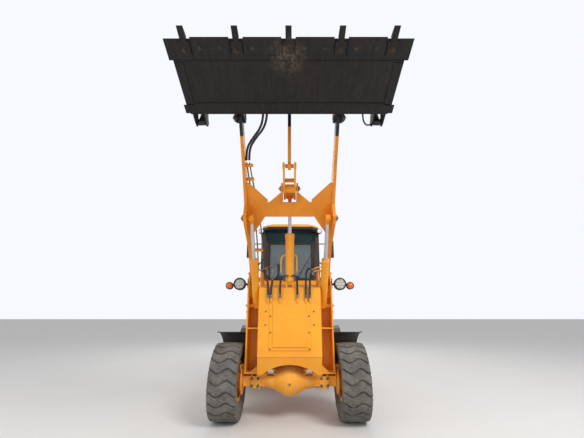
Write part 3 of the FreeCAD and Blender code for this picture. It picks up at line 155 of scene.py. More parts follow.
def wire(tree, shader, **inputs):
    """Join sockets to the shader, or set its values."""
    for key, value in inputs.items():
        socket = shader.inputs[key.replace("_", " ")]
        if isinstance(value, bpy.types.NodeSocket):
            tree.links.new(value, socket)
        else:
            socket.default_value = value


def paint(name, colour, shade, dust, chips, rough=0.38, dusty=0.5, worn=0.5, edge_round=0.006):
    """Machine paint: two tones clouded together, dust on what faces up and low down, chips on edges."""
    made, tree, shader, place = blank(name)
    normal = put(tree, "NewGeometry").outputs["Normal"]
    rounded = put(tree, "Bevel", {"samples": 4}, Radius=edge_round).outputs[0]
    sharp = put(tree, "VectorMath", {"operation": "DOT_PRODUCT"}, i0=normal, i1=rounded).outputs["Value"]
    edge = ramp(tree, sharp, 0.97, 0.80)
    clouds = noise(tree, place, 1.7)
    fine = noise(tree, place, 38.0, 8.0, 0.7)
    tone = mixed(tree, ramp(tree, clouds, 0.3, 0.75), colour, shade)
    up = put(tree, "SeparateXYZ", None, Vector=normal).outputs[2]
    height = put(tree, "SeparateXYZ", None, Vector=place).outputs[2]
    lying = times(tree, ramp(tree, up, 0.2, 0.95), ramp(tree, fine, 0.25, 0.7))
    splashed = times(tree, ramp(tree, height, 1.1, 0.25), ramp(tree, noise(tree, place, 9.0), 0.42, 0.72))
    dirt = times(tree, times(tree, lying, splashed, "MAXIMUM"), dusty)
    dirty = mixed(tree, dirt, tone, dust)
    chip = times(tree, times(tree, edge, ramp(tree, noise(tree, place, 24.0), 0.48, 0.62)), worn)
    colour_out = mixed(tree, chip, dirty, chips)
    grain = times(tree, fine, 0.25)
    rough_out = times(tree, times(tree, dirt, 0.5), times(tree, grain, rough, "ADD"), "ADD")
    orange_peel = put(tree, "Bump", None, Strength=0.08, Distance=0.002,
                      Height=noise(tree, place, 260.0, 2.0), Normal=rounded)
    wire(tree, shader, Base_Color=colour_out, Roughness=rough_out, Normal=orange_peel.outputs[0])
    wire(tree, shader, Coat_Weight=0.15, Coat_Roughness=0.25)
    return made


def bucket_plate():
    """Brown-black worn steel: scratches along the load's way, rust clouds and dried mud."""
    made, tree, shader, place = blank("worn_bucket_steel")
    rounded = put(tree, "Bevel", {"samples": 4}, Radius=0.006).outputs[0]
    long_way = put(tree, "Mapping", None, Vector=place, Scale=(9.0, 1.2, 1.2)).outputs[0]
    scratches = noise(tree, long_way, 3.0, 9.0, 0.75)
    clouds = noise(tree, place, 2.6, 7.0, 0.65)
    fine = noise(tree, place, 60.0, 6.0, 0.7)
    base = mixed(tree, ramp(tree, scratches, 0.35, 0.7), linear(17, 16, 16), linear(33, 30, 28))
    rust = times(tree, ramp(tree, clouds, 0.52, 0.72), ramp(tree, fine, 0.35, 0.65))
    rusty = mixed(tree, times(tree, rust, 0.18), base, linear(84, 52, 34))
    away = put(tree, "VectorMath", {"operation": "DISTANCE"}, i0=place,
               i1=tuple(spot(on_bucket(-0.02, 0.66, 0)))).outputs["Value"]
    patch = times(tree, ramp(tree, away, 0.26, 0.02),
                  ramp(tree, noise(tree, place, 16.0, 8.0, 0.7), 0.40, 0.58))
    specks = ramp(tree, noise(tree, place, 7.0, 8.0, 0.7), 0.64, 0.74)
    mud = times(tree, times(tree, patch, times(tree, specks, 0.4), "MAXIMUM"), ramp(tree, fine, 0.3, 0.6))
    muddy = mixed(tree, times(tree, mud, 0.7), rusty, linear(120, 102, 84))
    bump = put(tree, "Bump", None, Strength=0.35, Distance=0.004, Height=times(tree, scratches, fine, "ADD"),
               Normal=rounded)
    rough = times(tree, times(tree, scratches, -0.25), 0.68, "ADD")
    wire(tree, shader, Base_Color=muddy, Roughness=rough, Metallic=0.25, Normal=bump.outputs[0])
    return made


def rod_chrome():
    """Bright chrome, dimmed in smears."""
    made, tree, shader, place = blank("rod_chrome")
    smear = noise(tree, place, 12.0)
    tone = mixed(tree, ramp(tree, smear, 0.4, 0.7), linear(214, 214, 216), linear(160, 152, 140))
    wire(tree, shader, Base_Color=tone, Roughness=times(tree, smear, 0.3), Metallic=1.0)
    return made


def pin_steel():
    """Greased steel, brown in blotches."""
    made, tree, shader, place = blank("greased_steel")
    smear = noise(tree, place, 20.0)
    tone = mixed(tree, ramp(tree, smear, 0.4, 0.65), linear(120, 116, 110), linear(62, 50, 40))
    bump = put(tree, "Bump", None, Strength=0.3, Distance=0.001, Height=noise(tree, place, 120.0))
    wire(tree, shader, Base_Color=tone, Roughness=0.45, Metallic=0.8, Normal=bump.outputs[0])
    return made


def tyre_rubber():
    """Grey-black rubber in clouded tones, with pale dusty scuffs in streaks."""
    made, tree, shader, place = blank("dusty_rubber")
    clouds = noise(tree, place, 5.0, 8.0, 0.7)
    across = put(tree, "Mapping", None, Vector=place, Scale=(6.0, 30.0, 30.0)).outputs[0]
    scuffs = noise(tree, across, 5.0, 7.0, 0.8)
    tone = mixed(tree, ramp(tree, clouds, 0.35, 0.7), linear(66, 64, 62), linear(108, 104, 98))
    dusty = mixed(tree, times(tree, ramp(tree, scuffs, 0.42, 0.72), 0.7), tone, linear(158, 150, 138))
    bump = put(tree, "Bump", None, Strength=0.5, Distance=0.003, Height=times(tree, scuffs, clouds, "ADD"))
    wire(tree, shader, Base_Color=dusty, Roughness=0.88, Normal=bump.outputs[0])
    return made


def clear_glass():
    """Blue-green pane, hazed a little."""
    made, tree, shader, place = blank("cab_pane")
    haze = noise(tree, place, 3.0)
    tone = mixed(tree, haze, linear(30, 54, 58), linear(52, 80, 84))
    wire(tree, shader, Base_Color=tone, Roughness=0.03, Alpha=0.42)
    shader.inputs["IOR"].default_value = 1.45
    return made


def seat_cloth():
    """Dark cloth with a fine weave."""
    made, tree, shader, place = blank("seat_cloth")
    weave = put(tree, "TexWave", None, Vector=place, Scale=160.0, Distortion=2.0).outputs[1]
    tone = mixed(tree, weave, linear(30, 30, 33), linear(58, 57, 60))
    bump = put(tree, "Bump", None, Strength=0.4, Distance=0.001, Height=weave)
    wire(tree, shader, Base_Color=tone, Roughness=0.9, Normal=bump.outputs[0])
    return made


def black_plastic():
    """Moulded black plastic with a grain."""
    made, tree, shader, place = blank("grained_plastic")
    grain = noise(tree, place, 300.0, 3.0)
    tone = mixed(tree, noise(tree, place, 4.0), linear(28, 28, 29), linear(50, 48, 46))
    bump = put(tree, "Bump", None, Strength=0.25, Distance=0.0006, Height=grain)
    wire(tree, shader, Base_Color=tone, Roughness=0.55, Normal=bump.outputs[0])
    return made


def engine_iron():
    """Cast iron, blotched and rough."""
    made, tree, shader, place = blank("engine_iron")
    blotch = noise(tree, place, 9.0)
    tone = mixed(tree, blotch, linear(66, 64, 60), linear(98, 92, 84))
    bump = put(tree, "Bump", None, Strength=0.5, Distance=0.003, Height=noise(tree, place, 70.0))
    wire(tree, shader, Base_Color=tone, Roughness=0.7, Metallic=0.4, Normal=bump.outputs[0])
    return made


def worn_metal(name, first, second, metal):
    """Small fittings: two tones in blotches, finely pitted."""
    made, tree, shader, place = blank(name)
    tone = mixed(tree, ramp(tree, noise(tree, place, 26.0), 0.38, 0.66), first, second)
    bump = put(tree, "Bump", None, Strength=0.35, Distance=0.0008, Height=noise(tree, place, 240.0, 3.0))
    wire(tree, shader, Base_Color=tone, Roughness=0.5, Metallic=metal, Normal=bump.outputs[0])
    return made


def hose_rubber():
    """Black hose cover with a faint wrapped grain and some dust."""
    made, tree, shader, place = blank("hose_rubber")
    wrap = put(tree, "TexWave", None, Vector=place, Scale=90.0, Distortion=3.0, Detail=2.0).outputs[1]
    tone = mixed(tree, ramp(tree, noise(tree, place, 14.0), 0.45, 0.8), linear(22, 22, 23),
                 linear(66, 62, 56))
    bump = put(tree, "Bump", None, Strength=0.3, Distance=0.0007, Height=wrap)
    wire(tree, shader, Base_Color=tone, Roughness=0.5, Normal=bump.outputs[0])
    return made


def two_tone(name, first, second, along, start, metals=(0.0, 0.0)):
    """One finish up to a plane square to a direction, and the other past it."""
    made, tree, shader, place = blank(name)
    reach = put(tree, "VectorMath", {"operation": "DOT_PRODUCT"}, i0=place, i1=tuple(along)).outputs["Value"]
    past = ramp(tree, reach, start - 0.002, start + 0.002)
    other = put(tree, "BsdfPrincipled")
    for target, colour, metal in ((shader, first, metals[0]), (other, second, metals[1])):
        clouds = ramp(tree, noise(tree, place, 5.0), 0.35, 0.75)
        tone = mixed(tree, times(tree, clouds, 0.5), colour, tuple(0.72 * c for c in colour[:3]) + (1.0,))
        grain = put(tree, "Bump", None, Strength=0.08, Distance=0.002, Height=noise(tree, place, 260.0, 2.0))
        wire(tree, target, Base_Color=tone, Roughness=0.45 - 0.28 * metal, Metallic=metal,
             Normal=grain.outputs[0])
    both = put(tree, "MixShader", None, Fac=past, i1=shader.outputs[0], i2=other.outputs[0])
    tree.links.new(both.outputs[0], tree.nodes["Material Output"].inputs["Surface"])
    return made


def lens(name, colour, rough=0.08, see_through=0.35, ribs=0.0):
    """Lamp glass, clear or coloured, with fine moulded ribs."""
    made, tree, shader, place = blank(name)
    tone = mixed(tree, noise(tree, place, 30.0), colour, tuple(0.8 * c for c in colour[:3]) + (1.0,))
    wave = put(tree, "TexWave", {"bands_direction": "X"}, Vector=place, Scale=60.0).outputs[1]
    bump = put(tree, "Bump", None, Strength=ribs, Distance=0.001, Height=wave)
    wire(tree, shader, Base_Color=tone, Roughness=rough, Alpha=see_through, Normal=bump.outputs[0])
    return made


dust_colour = linear(176, 160, 132)
finishes = {
    "machine_yellow": paint("machine_yellow", linear(246, 168, 30), linear(240, 152, 18), dust_colour,
                            linear(110, 84, 60)),
    "black_paint": paint("black_paint", linear(30, 28, 27), linear(42, 39, 36), linear(120, 108, 92),
                         linear(96, 90, 84), 0.5),
    "bucket_steel": bucket_plate(),
    "rod_chrome": rod_chrome(),
    "pin_steel": pin_steel(),
    "tyre_rubber": tyre_rubber(),
    "cab_glass": clear_glass(),
    "seat_cloth": seat_cloth(),
    "black_plastic": black_plastic(),
    "engine_iron": engine_iron(),
    "bolt_steel": worn_metal("bolt_steel", linear(96, 78, 52), linear(150, 120, 70), 0.35),
    "bolt_rust": worn_metal("bolt_rust", linear(40, 35, 31), linear(78, 58, 42), 0.3),
    "zinc_steel": worn_metal("zinc_steel", linear(150, 148, 142), linear(96, 90, 82), 0.75),
    "hose_rubber": hose_rubber(),
    "lamp_glass": lens("lamp_glass", linear(214, 220, 212), 0.05, 0.30, 0.4),
    "amber_glass": lens("amber_glass", linear(240, 120, 16), 0.12, 0.92, 0.5),
    "red_glass": lens("red_glass", linear(180, 20, 16), 0.12, 0.92, 0.5),
    "white_lamp": lens("white_lamp", linear(236, 236, 228), 0.18, 1.0, 0.5),
    "mirror_glass": worn_metal("mirror_glass", linear(200, 206, 212), linear(190, 196, 204), 1.0),
}
finishes["mirror_glass"].node_tree.nodes["Principled BSDF"].inputs["Roughness"].default_value = 0.03
slot_of = {part["node"]: part["material_slot"] for part in frame["record"]["subparts"]}
for node_name, node_object in nodes.items():
    node_object.data.materials.clear()
    node_object.data.materials.append(finishes[slot_of[node_name]])
# The second colour is machine yellow darkened to the deep orange the paint shows in shade: painted shade, used
# on the arms, the rods' eye ends and the tie link.
yellow, shade_painted_orange, black = linear(246, 168, 30), linear(240, 146, 20), linear(26, 24, 23)
lift_base, lift_eye = (0.0, 1.620), (-1.000, 2.790)
tilt_base, tilt_eye = (-0.300, 2.005), tuple(on_arm(0, 1.400, 0.240)[1:])
chrome = linear(206, 206, 208)


def way_of(start, end):
    """The unit direction from one (y, z) point to another, as x, y, z."""
    way = np.array([0.0, end[0] - start[0], end[1] - start[1]])
    return way / np.linalg.norm(way)


def paint_from(node_name, first, second, way, place, metals=(0.0, 0.0)):
    """Give a node two finishes that meet in the plane through a (y, z) place, square to a direction."""
    name = node_name + "_finish"
    finishes[name] = two_tone(name, first, second, way, float(way @ spot([0.0, *place])), metals)
    nodes[node_name].data.materials.clear()
    nodes[node_name].data.materials.append(finishes[name])


arm_way, lift_way, tilt_way = way_of(arm_pivot, bucket_pin), way_of(lift_base, lift_eye), way_of(tilt_base,
                                                                                                 tilt_eye)
# Painted shade: the arms take the shade-darkened orange up to near their tips and black paint past it; the
# rods take chrome, with the same painted shade orange at their eye ends.
paint_from("lift_arms", shade_painted_orange, black, arm_way, on_arm(0, 2.39, 0)[1:])
paint_from("lift_cylinder_rods", chrome, shade_painted_orange, lift_way, np.array(lift_eye) - 0.085 * lift_way[1:],
           (1.0, 0.0))
paint_from("tilt_cylinder_rod", chrome, shade_painted_orange, tilt_way, np.array(tilt_eye) - 0.075 * tilt_way[1:],
           (1.0, 0.0))
paint_from("cab_roof", black, yellow, np.array([0.0, 0.0, 1.0]), (0.0, 3.172))
for node_name in ("clam_cylinder_barrels", "clam_cylinder_rods"):
    nodes[node_name].data.materials.clear()
    nodes[node_name].data.materials.append(finishes["black_paint"])
link_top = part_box("tie_link")[1]
# Painted shade: the tie link takes the shade-darkened orange below and black paint at its top.
paint_from("tie_link", shade_painted_orange, black, np.array([0.0, 0.0, 1.0]), (0.0, link_top[2] - 0.42))


def make(name, points, faces, body, slot, finish, stands_for=(), smooth=True, bevel=0.0):
    """Put arrays of points and faces into a mesh piece that rides on a body and has a finish."""
    mesh = bpy.data.meshes.new(name)
    mesh.from_pydata(np.asarray(points, float).tolist(), [], [tuple(int(i) for i in face) for face in faces])
    mesh.validate()
    mesh.update()
    piece = bpy.data.objects.new(name, mesh)
    bpy.context.scene.collection.objects.link(piece)
    mesh.polygons.foreach_set("use_smooth", np.full(len(mesh.polygons), smooth))
    mesh.materials.append(finish)
    if smooth:
        mesh.set_sharp_from_angle(angle=math.radians(35))
    if bevel:
        edge = piece.modifiers.new("edge", "BEVEL")
        edge.width, edge.segments, edge.limit_method = bevel, 2, "ANGLE"
    if body:
        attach(piece, body)
    if stands_for:
        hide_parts(*stands_for)
    return piece


def grid_faces(rows, columns, closed_rows=False, closed_columns=True):
    """Quads of a grid of rows by columns, numbered row by row, each way closed or open."""
    r = np.arange(rows if closed_rows else rows - 1)
    c = np.arange(columns if closed_columns else columns - 1)
    r, c = np.meshgrid(r, c, indexing="ij")
    r, c = r.ravel(), c.ravel()
    r2, c2 = (r + 1) % rows, (c + 1) % columns
    return np.stack([r * columns + c, r * columns + c2, r2 * columns + c2, r2 * columns + c], 1)


def joined(parts):
    """Several (points, faces) sets as one, faces renumbered."""
    points, faces, start = [], [], 0
    for some_points, some_faces in parts:
        points.append(np.asarray(some_points, float))
        faces += [tuple(int(i) + start for i in face) for face in some_faces]
        start += len(some_points)
    return np.vstack(points), faces


def across(direction):
    """Two unit vectors square to a direction and to each other."""
    d = np.asarray(direction, float)
    d = d / np.linalg.norm(d)
    side = np.cross(d, [0.0, 0.0, 1.0] if abs(d[2]) < 0.9 else [1.0, 0.0, 0.0])
    side = side / np.linalg.norm(side)
    return d, side, np.cross(d, side)


def lathe(profile, start, direction, sides=32):
    """A turned shape: (distance along, radius) pairs carried round an axis, its ends closed by caps."""
    d, a, b = across(direction)
    profile = np.asarray(profile, float)
    turn = np.linspace(0, 2 * math.pi, sides, endpoint=False)
    ring = np.cos(turn)[:, None] * a + np.sin(turn)[:, None] * b
    points = np.asarray(start, float) + profile[:, 0, None, None] * d + profile[:, 1, None, None] * ring
    faces = grid_faces(len(profile), sides)[:, ::-1].tolist()
    last = (len(profile) - 1) * sides
    faces.append(tuple(range(sides)))
    faces.append(tuple(range(last + sides - 1, last - 1, -1)))
    return points.reshape(-1, 3), faces


def ring(section, start, direction, sides=36):
    """A hoop: a closed (along, radius) section turned about an axis, hollow inside."""
    d, a, b = across(direction)
    turn = np.linspace(0, 2 * math.pi, sides, endpoint=False)
    spokes = np.cos(turn)[:, None] * a + np.sin(turn)[:, None] * b
    points = np.array([np.asarray(start) + d * along + spokes * radius
                       for along, radius in section]).reshape(-1, 3)
    return points, grid_faces(len(section), sides, closed_rows=True)[:, ::-1]


def smooth_line(corners, count=48):
    """A line through the corners' middle, as a quadratic B-spline that keeps both ends."""
    corners = np.asarray(corners, float)
    n = len(corners) - 2
    t = np.linspace(0, n, count)
    k = np.minimum(t.astype(int), n - 1)
    u = t - k
    first = np.where((k == 0)[:, None], corners[0], (corners[k] + corners[k + 1]) / 2)
    last = np.where((k == n - 1)[:, None], corners[-1], (corners[k + 1] + corners[k + 2]) / 2)
    u = u[:, None]
    return (1 - u) ** 2 * first + 2 * u * (1 - u) * corners[k + 1] + u**2 * last


def tube(line, radius, sides=14, ripple=0.0, waves=0.0):
    """A round tube carried along a line, its ends capped; the radius may ripple along it."""
    line = np.asarray(line, float)
    ahead = np.gradient(line, axis=0)
    ahead /= np.linalg.norm(ahead, axis=1)[:, None]
    _, side, _ = across(ahead[0])
    frames = [side]
    for step in ahead[1:]:
        side = frames[-1] - step * np.dot(frames[-1], step)
        frames.append(side / np.linalg.norm(side))
    side = np.array(frames)
    up = np.cross(ahead, side)
    turn = np.linspace(0, 2 * math.pi, sides, endpoint=False)
    along = np.linspace(0, 1, len(line))
    size = np.asarray(radius) * (1 + ripple * np.cos(2 * math.pi * waves * along))
    ring = np.cos(turn)[None, :, None] * side[:, None] + np.sin(turn)[None, :, None] * up[:, None]
    points = line[:, None] + size[:, None, None] * ring
    faces = grid_faces(len(line), sides)[:, ::-1].tolist()
    last = (len(line) - 1) * sides
    faces += [tuple(range(sides)), tuple(range(last + sides - 1, last - 1, -1))]
    return points.reshape(-1, 3), faces


def hex_heads(places, directions, across_flats=0.024, height=0.012, washer=1.5):
    """Bolt heads: for each place a washer ring and a six-sided head with a chamfered top."""
    r = across_flats / 2 / math.cos(math.pi / 6)
    parts = []
    for place, direction in zip(places, directions):
        parts.append(lathe([(-0.002, r * washer), (0.003, r * washer), (0.004, r * washer * 0.94)], place,
                           direction, 16))
        head = [(0.003, r), (height * 0.8, r), (height, r * 0.8)]
        parts.append(lathe(head, place, direction, 6))
    return joined(parts)


def rounded_slab(low, high, power=7.0, rows=9, columns=24):
    """A block with rounded sides: a globe whose sines and cosines are raised to 2 / power."""
    low, high = np.asarray(low, float), np.asarray(high, float)
    v = np.linspace(-math.pi / 2, math.pi / 2, rows)
    u = np.linspace(-math.pi, math.pi, columns, endpoint=False)
    v, u = np.meshgrid(v, u, indexing="ij")

    def soft(value):
        return np.sign(value) * np.abs(value) ** (2 / power)

    shell = np.stack([soft(np.cos(v)) * soft(np.cos(u)), soft(np.cos(v)) * soft(np.sin(u)), soft(np.sin(v))],
                     -1)
    points = (low + high) / 2 + shell.reshape(-1, 3) * (high - low) / 2
    return points, grid_faces(rows, columns)


def plate_between(outline, thickness_way):
    """A flat plate: an outline, the same moved along the thickness, and quads between them."""
    near = np.asarray(outline, float)
    n = len(near)
    faces = [tuple(range(n)), tuple(range(2 * n - 1, n - 1, -1))]
    faces += [(i, n + i, n + (i + 1) % n, (i + 1) % n) for i in range(n)]
    return np.vstack([near, near + np.asarray(thickness_way)]), faces


def bar(outline, x0, x1):
    """A plate: a (y, z) outline carried from x0 to x1."""
    return plate_between([(x0, y, z) for y, z in outline], [x1 - x0, 0.0, 0.0])


def turned_right(piece):
    """Merge a mesh's doubles and turn its faces outwards."""
    shape = bmesh.new()
    shape.from_mesh(piece.data)
    bmesh.ops.remove_doubles(shape, verts=shape.verts, dist=1e-6)
    bmesh.ops.recalc_face_normals(shape, faces=shape.faces)
    shape.to_mesh(piece.data)
    shape.free()
    return piece


def build(name, parts, body, slot, finish=None, from_axle=False, outwards=False, **ways):
    """Several (points, faces) sets as one piece on a body, with its slot's finish or another one.

    from_axle says that its Y still counts from the front axle, outwards that its faces have to be turned."""
    points, faces = joined(parts)
    points = spot(points) if from_axle else points
    piece = make(name, points, faces, body, slot, finishes[finish or slot], **ways)
    return turned_right(piece) if outwards else piece


# Tyres
tyre_radius, tyre_half_width = 0.535, 0.200
lug_count, lug_depth = 23, 0.025


def tyre_mesh(middle):
    """A tyre: a section from bead to bead carried round the axle, grooved by a wave of 1.5 turns across it.

    Across the tread the groove is shifted round by sin(1.5 pi x), and the grid is sheared with it, so
    that each groove's two walls lie on grid lines. The depth fades out down the shoulders.
    """
    lug = [0.0, 0.035, 0.17, 0.205, 0.225, 0.30, 0.42, 0.54, 0.66, 0.78, 0.90, 0.975]
    drop = [1.0, 1.0, 1.0, 0.12, 0.0, 0.0, 0.0, 0.0, 0.0, 0.0, 0.0, 0.10]
    phase = (np.arange(lug_count)[:, None] + np.array(lug)[None, :]).ravel() / lug_count * 2 * math.pi
    drop = np.tile(drop, lug_count)
    tread = np.linspace(-0.985, 0.985, 43)
    tread_r = tyre_radius - 0.004 - 0.013 * np.abs(tread) ** 3.0
    wall_x = np.array([1.0, 1.01, 1.02, 1.012, 0.99, 0.96, 0.90, 0.83, 0.765, 0.745, 0.74])
    wall_r = np.array([0.512, 0.497, 0.465, 0.43, 0.395, 0.365, 0.33, 0.300, 0.282, 0.268, 0.256])
    x = np.concatenate([-wall_x[::-1], tread, wall_x]) * tyre_half_width
    r = np.concatenate([wall_r[::-1], tread_r, wall_r])
    depth = lug_depth * np.interp(r, [0.462, 0.475, 0.50, 0.515], [0.0, 0.35, 0.8, 1.0])
    swing = -np.sin(1.5 * math.pi * np.clip(x / tyre_half_width, -1, 1)) * 0.032 / tyre_radius
    angle = phase[None, :] + swing[:, None]
    radius = r[:, None] - depth[:, None] * drop[None, :]
    shoulder = np.interp(np.abs(x), [0.17, 0.205], [0.0, 1.0])
    radius += (shoulder * depth * 0.25)[:, None] * np.sin(phase * lug_count + 1.2)[None, :]
    points = np.stack([np.broadcast_to(x[:, None], angle.shape), radius * np.cos(angle),
                       radius * np.sin(angle)], -1)
    return points.reshape(-1, 3) + middle, grid_faces(len(x), len(phase), closed_rows=True)


wheel_names = [f"{end}_{side}" for end in ("front", "rear") for side in ("left", "right")]
for wheel_name in wheel_names:
    wheel_at = hinge_at[f"{wheel_name}_roll"]
    build(f"{wheel_name}_tread", [tyre_mesh(wheel_at)], f"{wheel_name}_wheel", "tyre_rubber", outwards=True,
          stands_for=(f"{wheel_name}_tyre",))


# Wheel nuts and hub caps
disc_face = 0.058


def wheel_trim(middle, side):
    """Ten nuts with their studs on a circle, and a stepped hub cap with eight bolts."""
    out = np.array([side, 0.0, 0.0])
    parts = []
    turn = np.arange(10) / 10 * 2 * math.pi
    ring = np.stack([np.zeros(10), np.cos(turn), np.sin(turn)], 1)
    places = middle + out * disc_face + ring * 0.165
    parts.append(hex_heads(places, [out] * 10, 0.030, 0.024, 1.25))
    stud = [(0.0, 0.009), (0.034, 0.009), (0.036, 0.007)]
    parts += [lathe(stud, place, out, 10) for place in places]
    cap = [(0.085, 0.100), (0.130, 0.099), (0.134, 0.092), (0.136, 0.060), (0.150, 0.056), (0.152, 0.050),
           (0.152, 0.001)]
    parts.append(lathe(cap, middle, out, 40))
    turn = np.arange(8) / 8 * 2 * math.pi
    ring = np.stack([np.zeros(8), np.cos(turn), np.sin(turn)], 1)
    parts.append(hex_heads(middle + out * 0.134 + ring * 0.080, [out] * 8, 0.013, 0.007, 1.2))
    return joined(parts)


for wheel_name in wheel_names:
    side = 1.0 if "left" in wheel_name else -1.0
    parts = [wheel_trim(hinge_at[f"{wheel_name}_roll"], side)]
    build(f"{wheel_name}_nuts", parts, f"{wheel_name}_wheel", "machine_yellow")

below_bucket = np.array([0.0, -math.sin(floor_angle), -math.cos(floor_angle)])
tooth_x = np.linspace(-1.05, 1.05, 5)
blade_x = (tooth_x[1:] + tooth_x[:-1]) / 2


def weld(corners, radius=0.006, pitch=0.011):
    """A weld bead: a tube whose radius ripples once for every few millimetres of its length."""
    corners = np.asarray(corners, float)
    runs = np.linalg.norm(np.diff(corners, axis=0), axis=1)
    count = int(max(8, runs.sum() / pitch * 4))
    along = np.linspace(0, runs.sum(), count)
    stops = np.concatenate([[0.0], np.cumsum(runs)])
    line = np.stack([np.interp(along, stops, corners[:, i]) for i in range(3)], 1)
    return tube(line, radius, 6, 0.22, runs.sum() / pitch)


# Bucket: bolts under the blades and the teeth, and the seams of its floor
places = [on_bucket(x + dx, 0.745, -0.014) for x in blade_x for dx in (-0.104, 0.104)]
parts = [hex_heads(spot(places), [below_bucket] * len(places), 0.032, 0.016, 1.35)]
places = [on_bucket(x, 0.722, -0.014) for x in tooth_x]
parts.append(hex_heads(spot(places), [below_bucket] * len(places), 0.042, 0.022, 1.4))
build("bucket_edge_bolts", parts, "clam", "bucket_steel", "bolt_rust")
seams = [
    [on_bucket(-1.207, 0.618, -0.001), on_bucket(1.207, 0.618, -0.001)],
    [on_bucket(-1.108, 0.131, -0.003), on_bucket(1.108, 0.131, -0.003)],
    [on_bucket(-1.196, 0.05, 0.022), on_bucket(-1.196, 0.62, 0.022)],
    [on_bucket(1.196, 0.05, 0.022), on_bucket(1.196, 0.62, 0.022)],
    [on_bucket(-1.19, 0.625, 0.031), on_bucket(1.19, 0.625, 0.031)],
]
build("bucket_floor_seams", [weld(spot(seam)) for seam in seams], "clam", "bucket_steel")
strips = [bar([on_bucket(0, f, n)[1:] for f, n in ((0.13, -0.008), (0.13, 0.001), (0.60, 0.001),
                                                   (0.60, -0.008))], *x)
          for x in ((-1.205, -1.112), (1.112, 1.205))]
build("bucket_side_strips", strips, "clam", "bucket_steel", from_axle=True, outwards=True, smooth=False,
      bevel=0.002)

# Front cover: bolts of the hatch and of the axle, a drain plug, and seams
cover_y = -0.300
ahead = np.array([0.0, -1.0, 0.0])
hatch = [(x, z) for x in (-0.290, 0.290) for z in (1.000, 1.230, 1.460, 1.683)]
plate = [(-0.363, 1.335), (-0.363, 1.528), (0.363, 1.335), (0.363, 1.528)]
places = [(x, cover_y - 0.008, z) for x, z in hatch] + [(x, cover_y, z) for x, z in plate]
parts = [hex_heads(spot(places), [ahead] * len(places), 0.013, 0.008, 1.7)]
axle_bolts = [(x, -0.095, z) for x in (-0.56, -0.47, 0.47, 0.56) for z in (0.475, 0.575)]
parts.append(hex_heads(spot(axle_bolts), [ahead] * len(axle_bolts), 0.026, 0.018))
plug = [(0.0, -0.211, 0.520)]
parts.append(hex_heads(spot(plug), [ahead], 0.030, 0.016, 1.5))
build("front_bolts", parts, "front_body", "machine_yellow", "bolt_steel")
seams = [
    [(-0.468, -0.302, 0.895), (0.468, -0.302, 0.895)],
    [(-0.310, -0.304, 0.983), (0.310, -0.304, 0.983)],
    [(-0.474, -0.281, 0.90), (-0.474, -0.281, 1.86)],
    [(0.474, -0.281, 0.90), (0.474, -0.281, 1.86)],
]
build("cover_seams", [weld(spot(seam), 0.005) for seam in seams], "front_body", "machine_yellow")


# Heel strip under the clam's back edge
heel_half = 1.238
strip = [on_bucket(0, f, n)[1:] for f, n in ((0.004, -0.0005), (0.112, -0.0005), (0.112, -0.010),
                                             (0.108, -0.012), (0.008, -0.012), (0.004, -0.010))]
build("bucket_heel_strip", [bar(strip, -heel_half, heel_half)], "clam", "bucket_steel", from_axle=True,
      outwards=True, smooth=False)


def pin_end(place, direction, radius):
    """A pin's end: a thick washer, a domed head with a groove and a grease nipple."""
    rim = [(-0.002, radius * 1.45), (0.008, radius * 1.45), (0.010, radius * 1.36), (0.010, radius * 1.02),
           (0.020, radius), (0.024, radius * 0.9), (0.026, radius * 0.3), (0.026, 0.006), (0.034, 0.006),
           (0.036, 0.004), (0.041, 0.0045), (0.043, 0.002)]
    return lathe(rim, place, direction, 28)


def keeper(place, x_out, reach, angle):
    """A keeper plate across a pin's end with a bolt at each end."""
    side = math.copysign(1.0, x_out)
    way = np.array([0.0, math.cos(angle), math.sin(angle)])
    middle = np.asarray(place) + way * reach * 0.62
    flat = np.array([0.0, -math.sin(angle), math.cos(angle)])
    outline = [(-reach * 0.5, -0.016), (reach * 0.5, -0.016), (reach * 0.5, 0.016), (-reach * 0.5, 0.016)]
    corners = [middle + way * a + flat * b for a, b in outline]
    points = np.vstack([corners, np.array(corners) + np.array([side * 0.009, 0, 0])])
    faces = [(0, 1, 2, 3), (7, 6, 5, 4), (0, 4, 5, 1), (1, 5, 6, 2), (2, 6, 7, 3), (3, 7, 4, 0)]
    ends = [middle + way * reach * 0.32 + np.array([side * 0.009, 0, 0])]
    return joined([(points, faces), hex_heads(ends, [[side, 0, 0]], 0.016, 0.010)])


def pin_set(name, body, spots_and_sizes, finish="pin_steel", slot="pin_steel"):
    """Pin ends at both sides of the loader for a list of (x, y, z, radius)."""
    parts = []
    for x, y, z, radius in spots_and_sizes:
        for side in (1.0, -1.0):
            parts.append(pin_end(spot([x * side, y, z]), [side, 0, 0], radius))
    return build(name, parts, body, slot, finish)


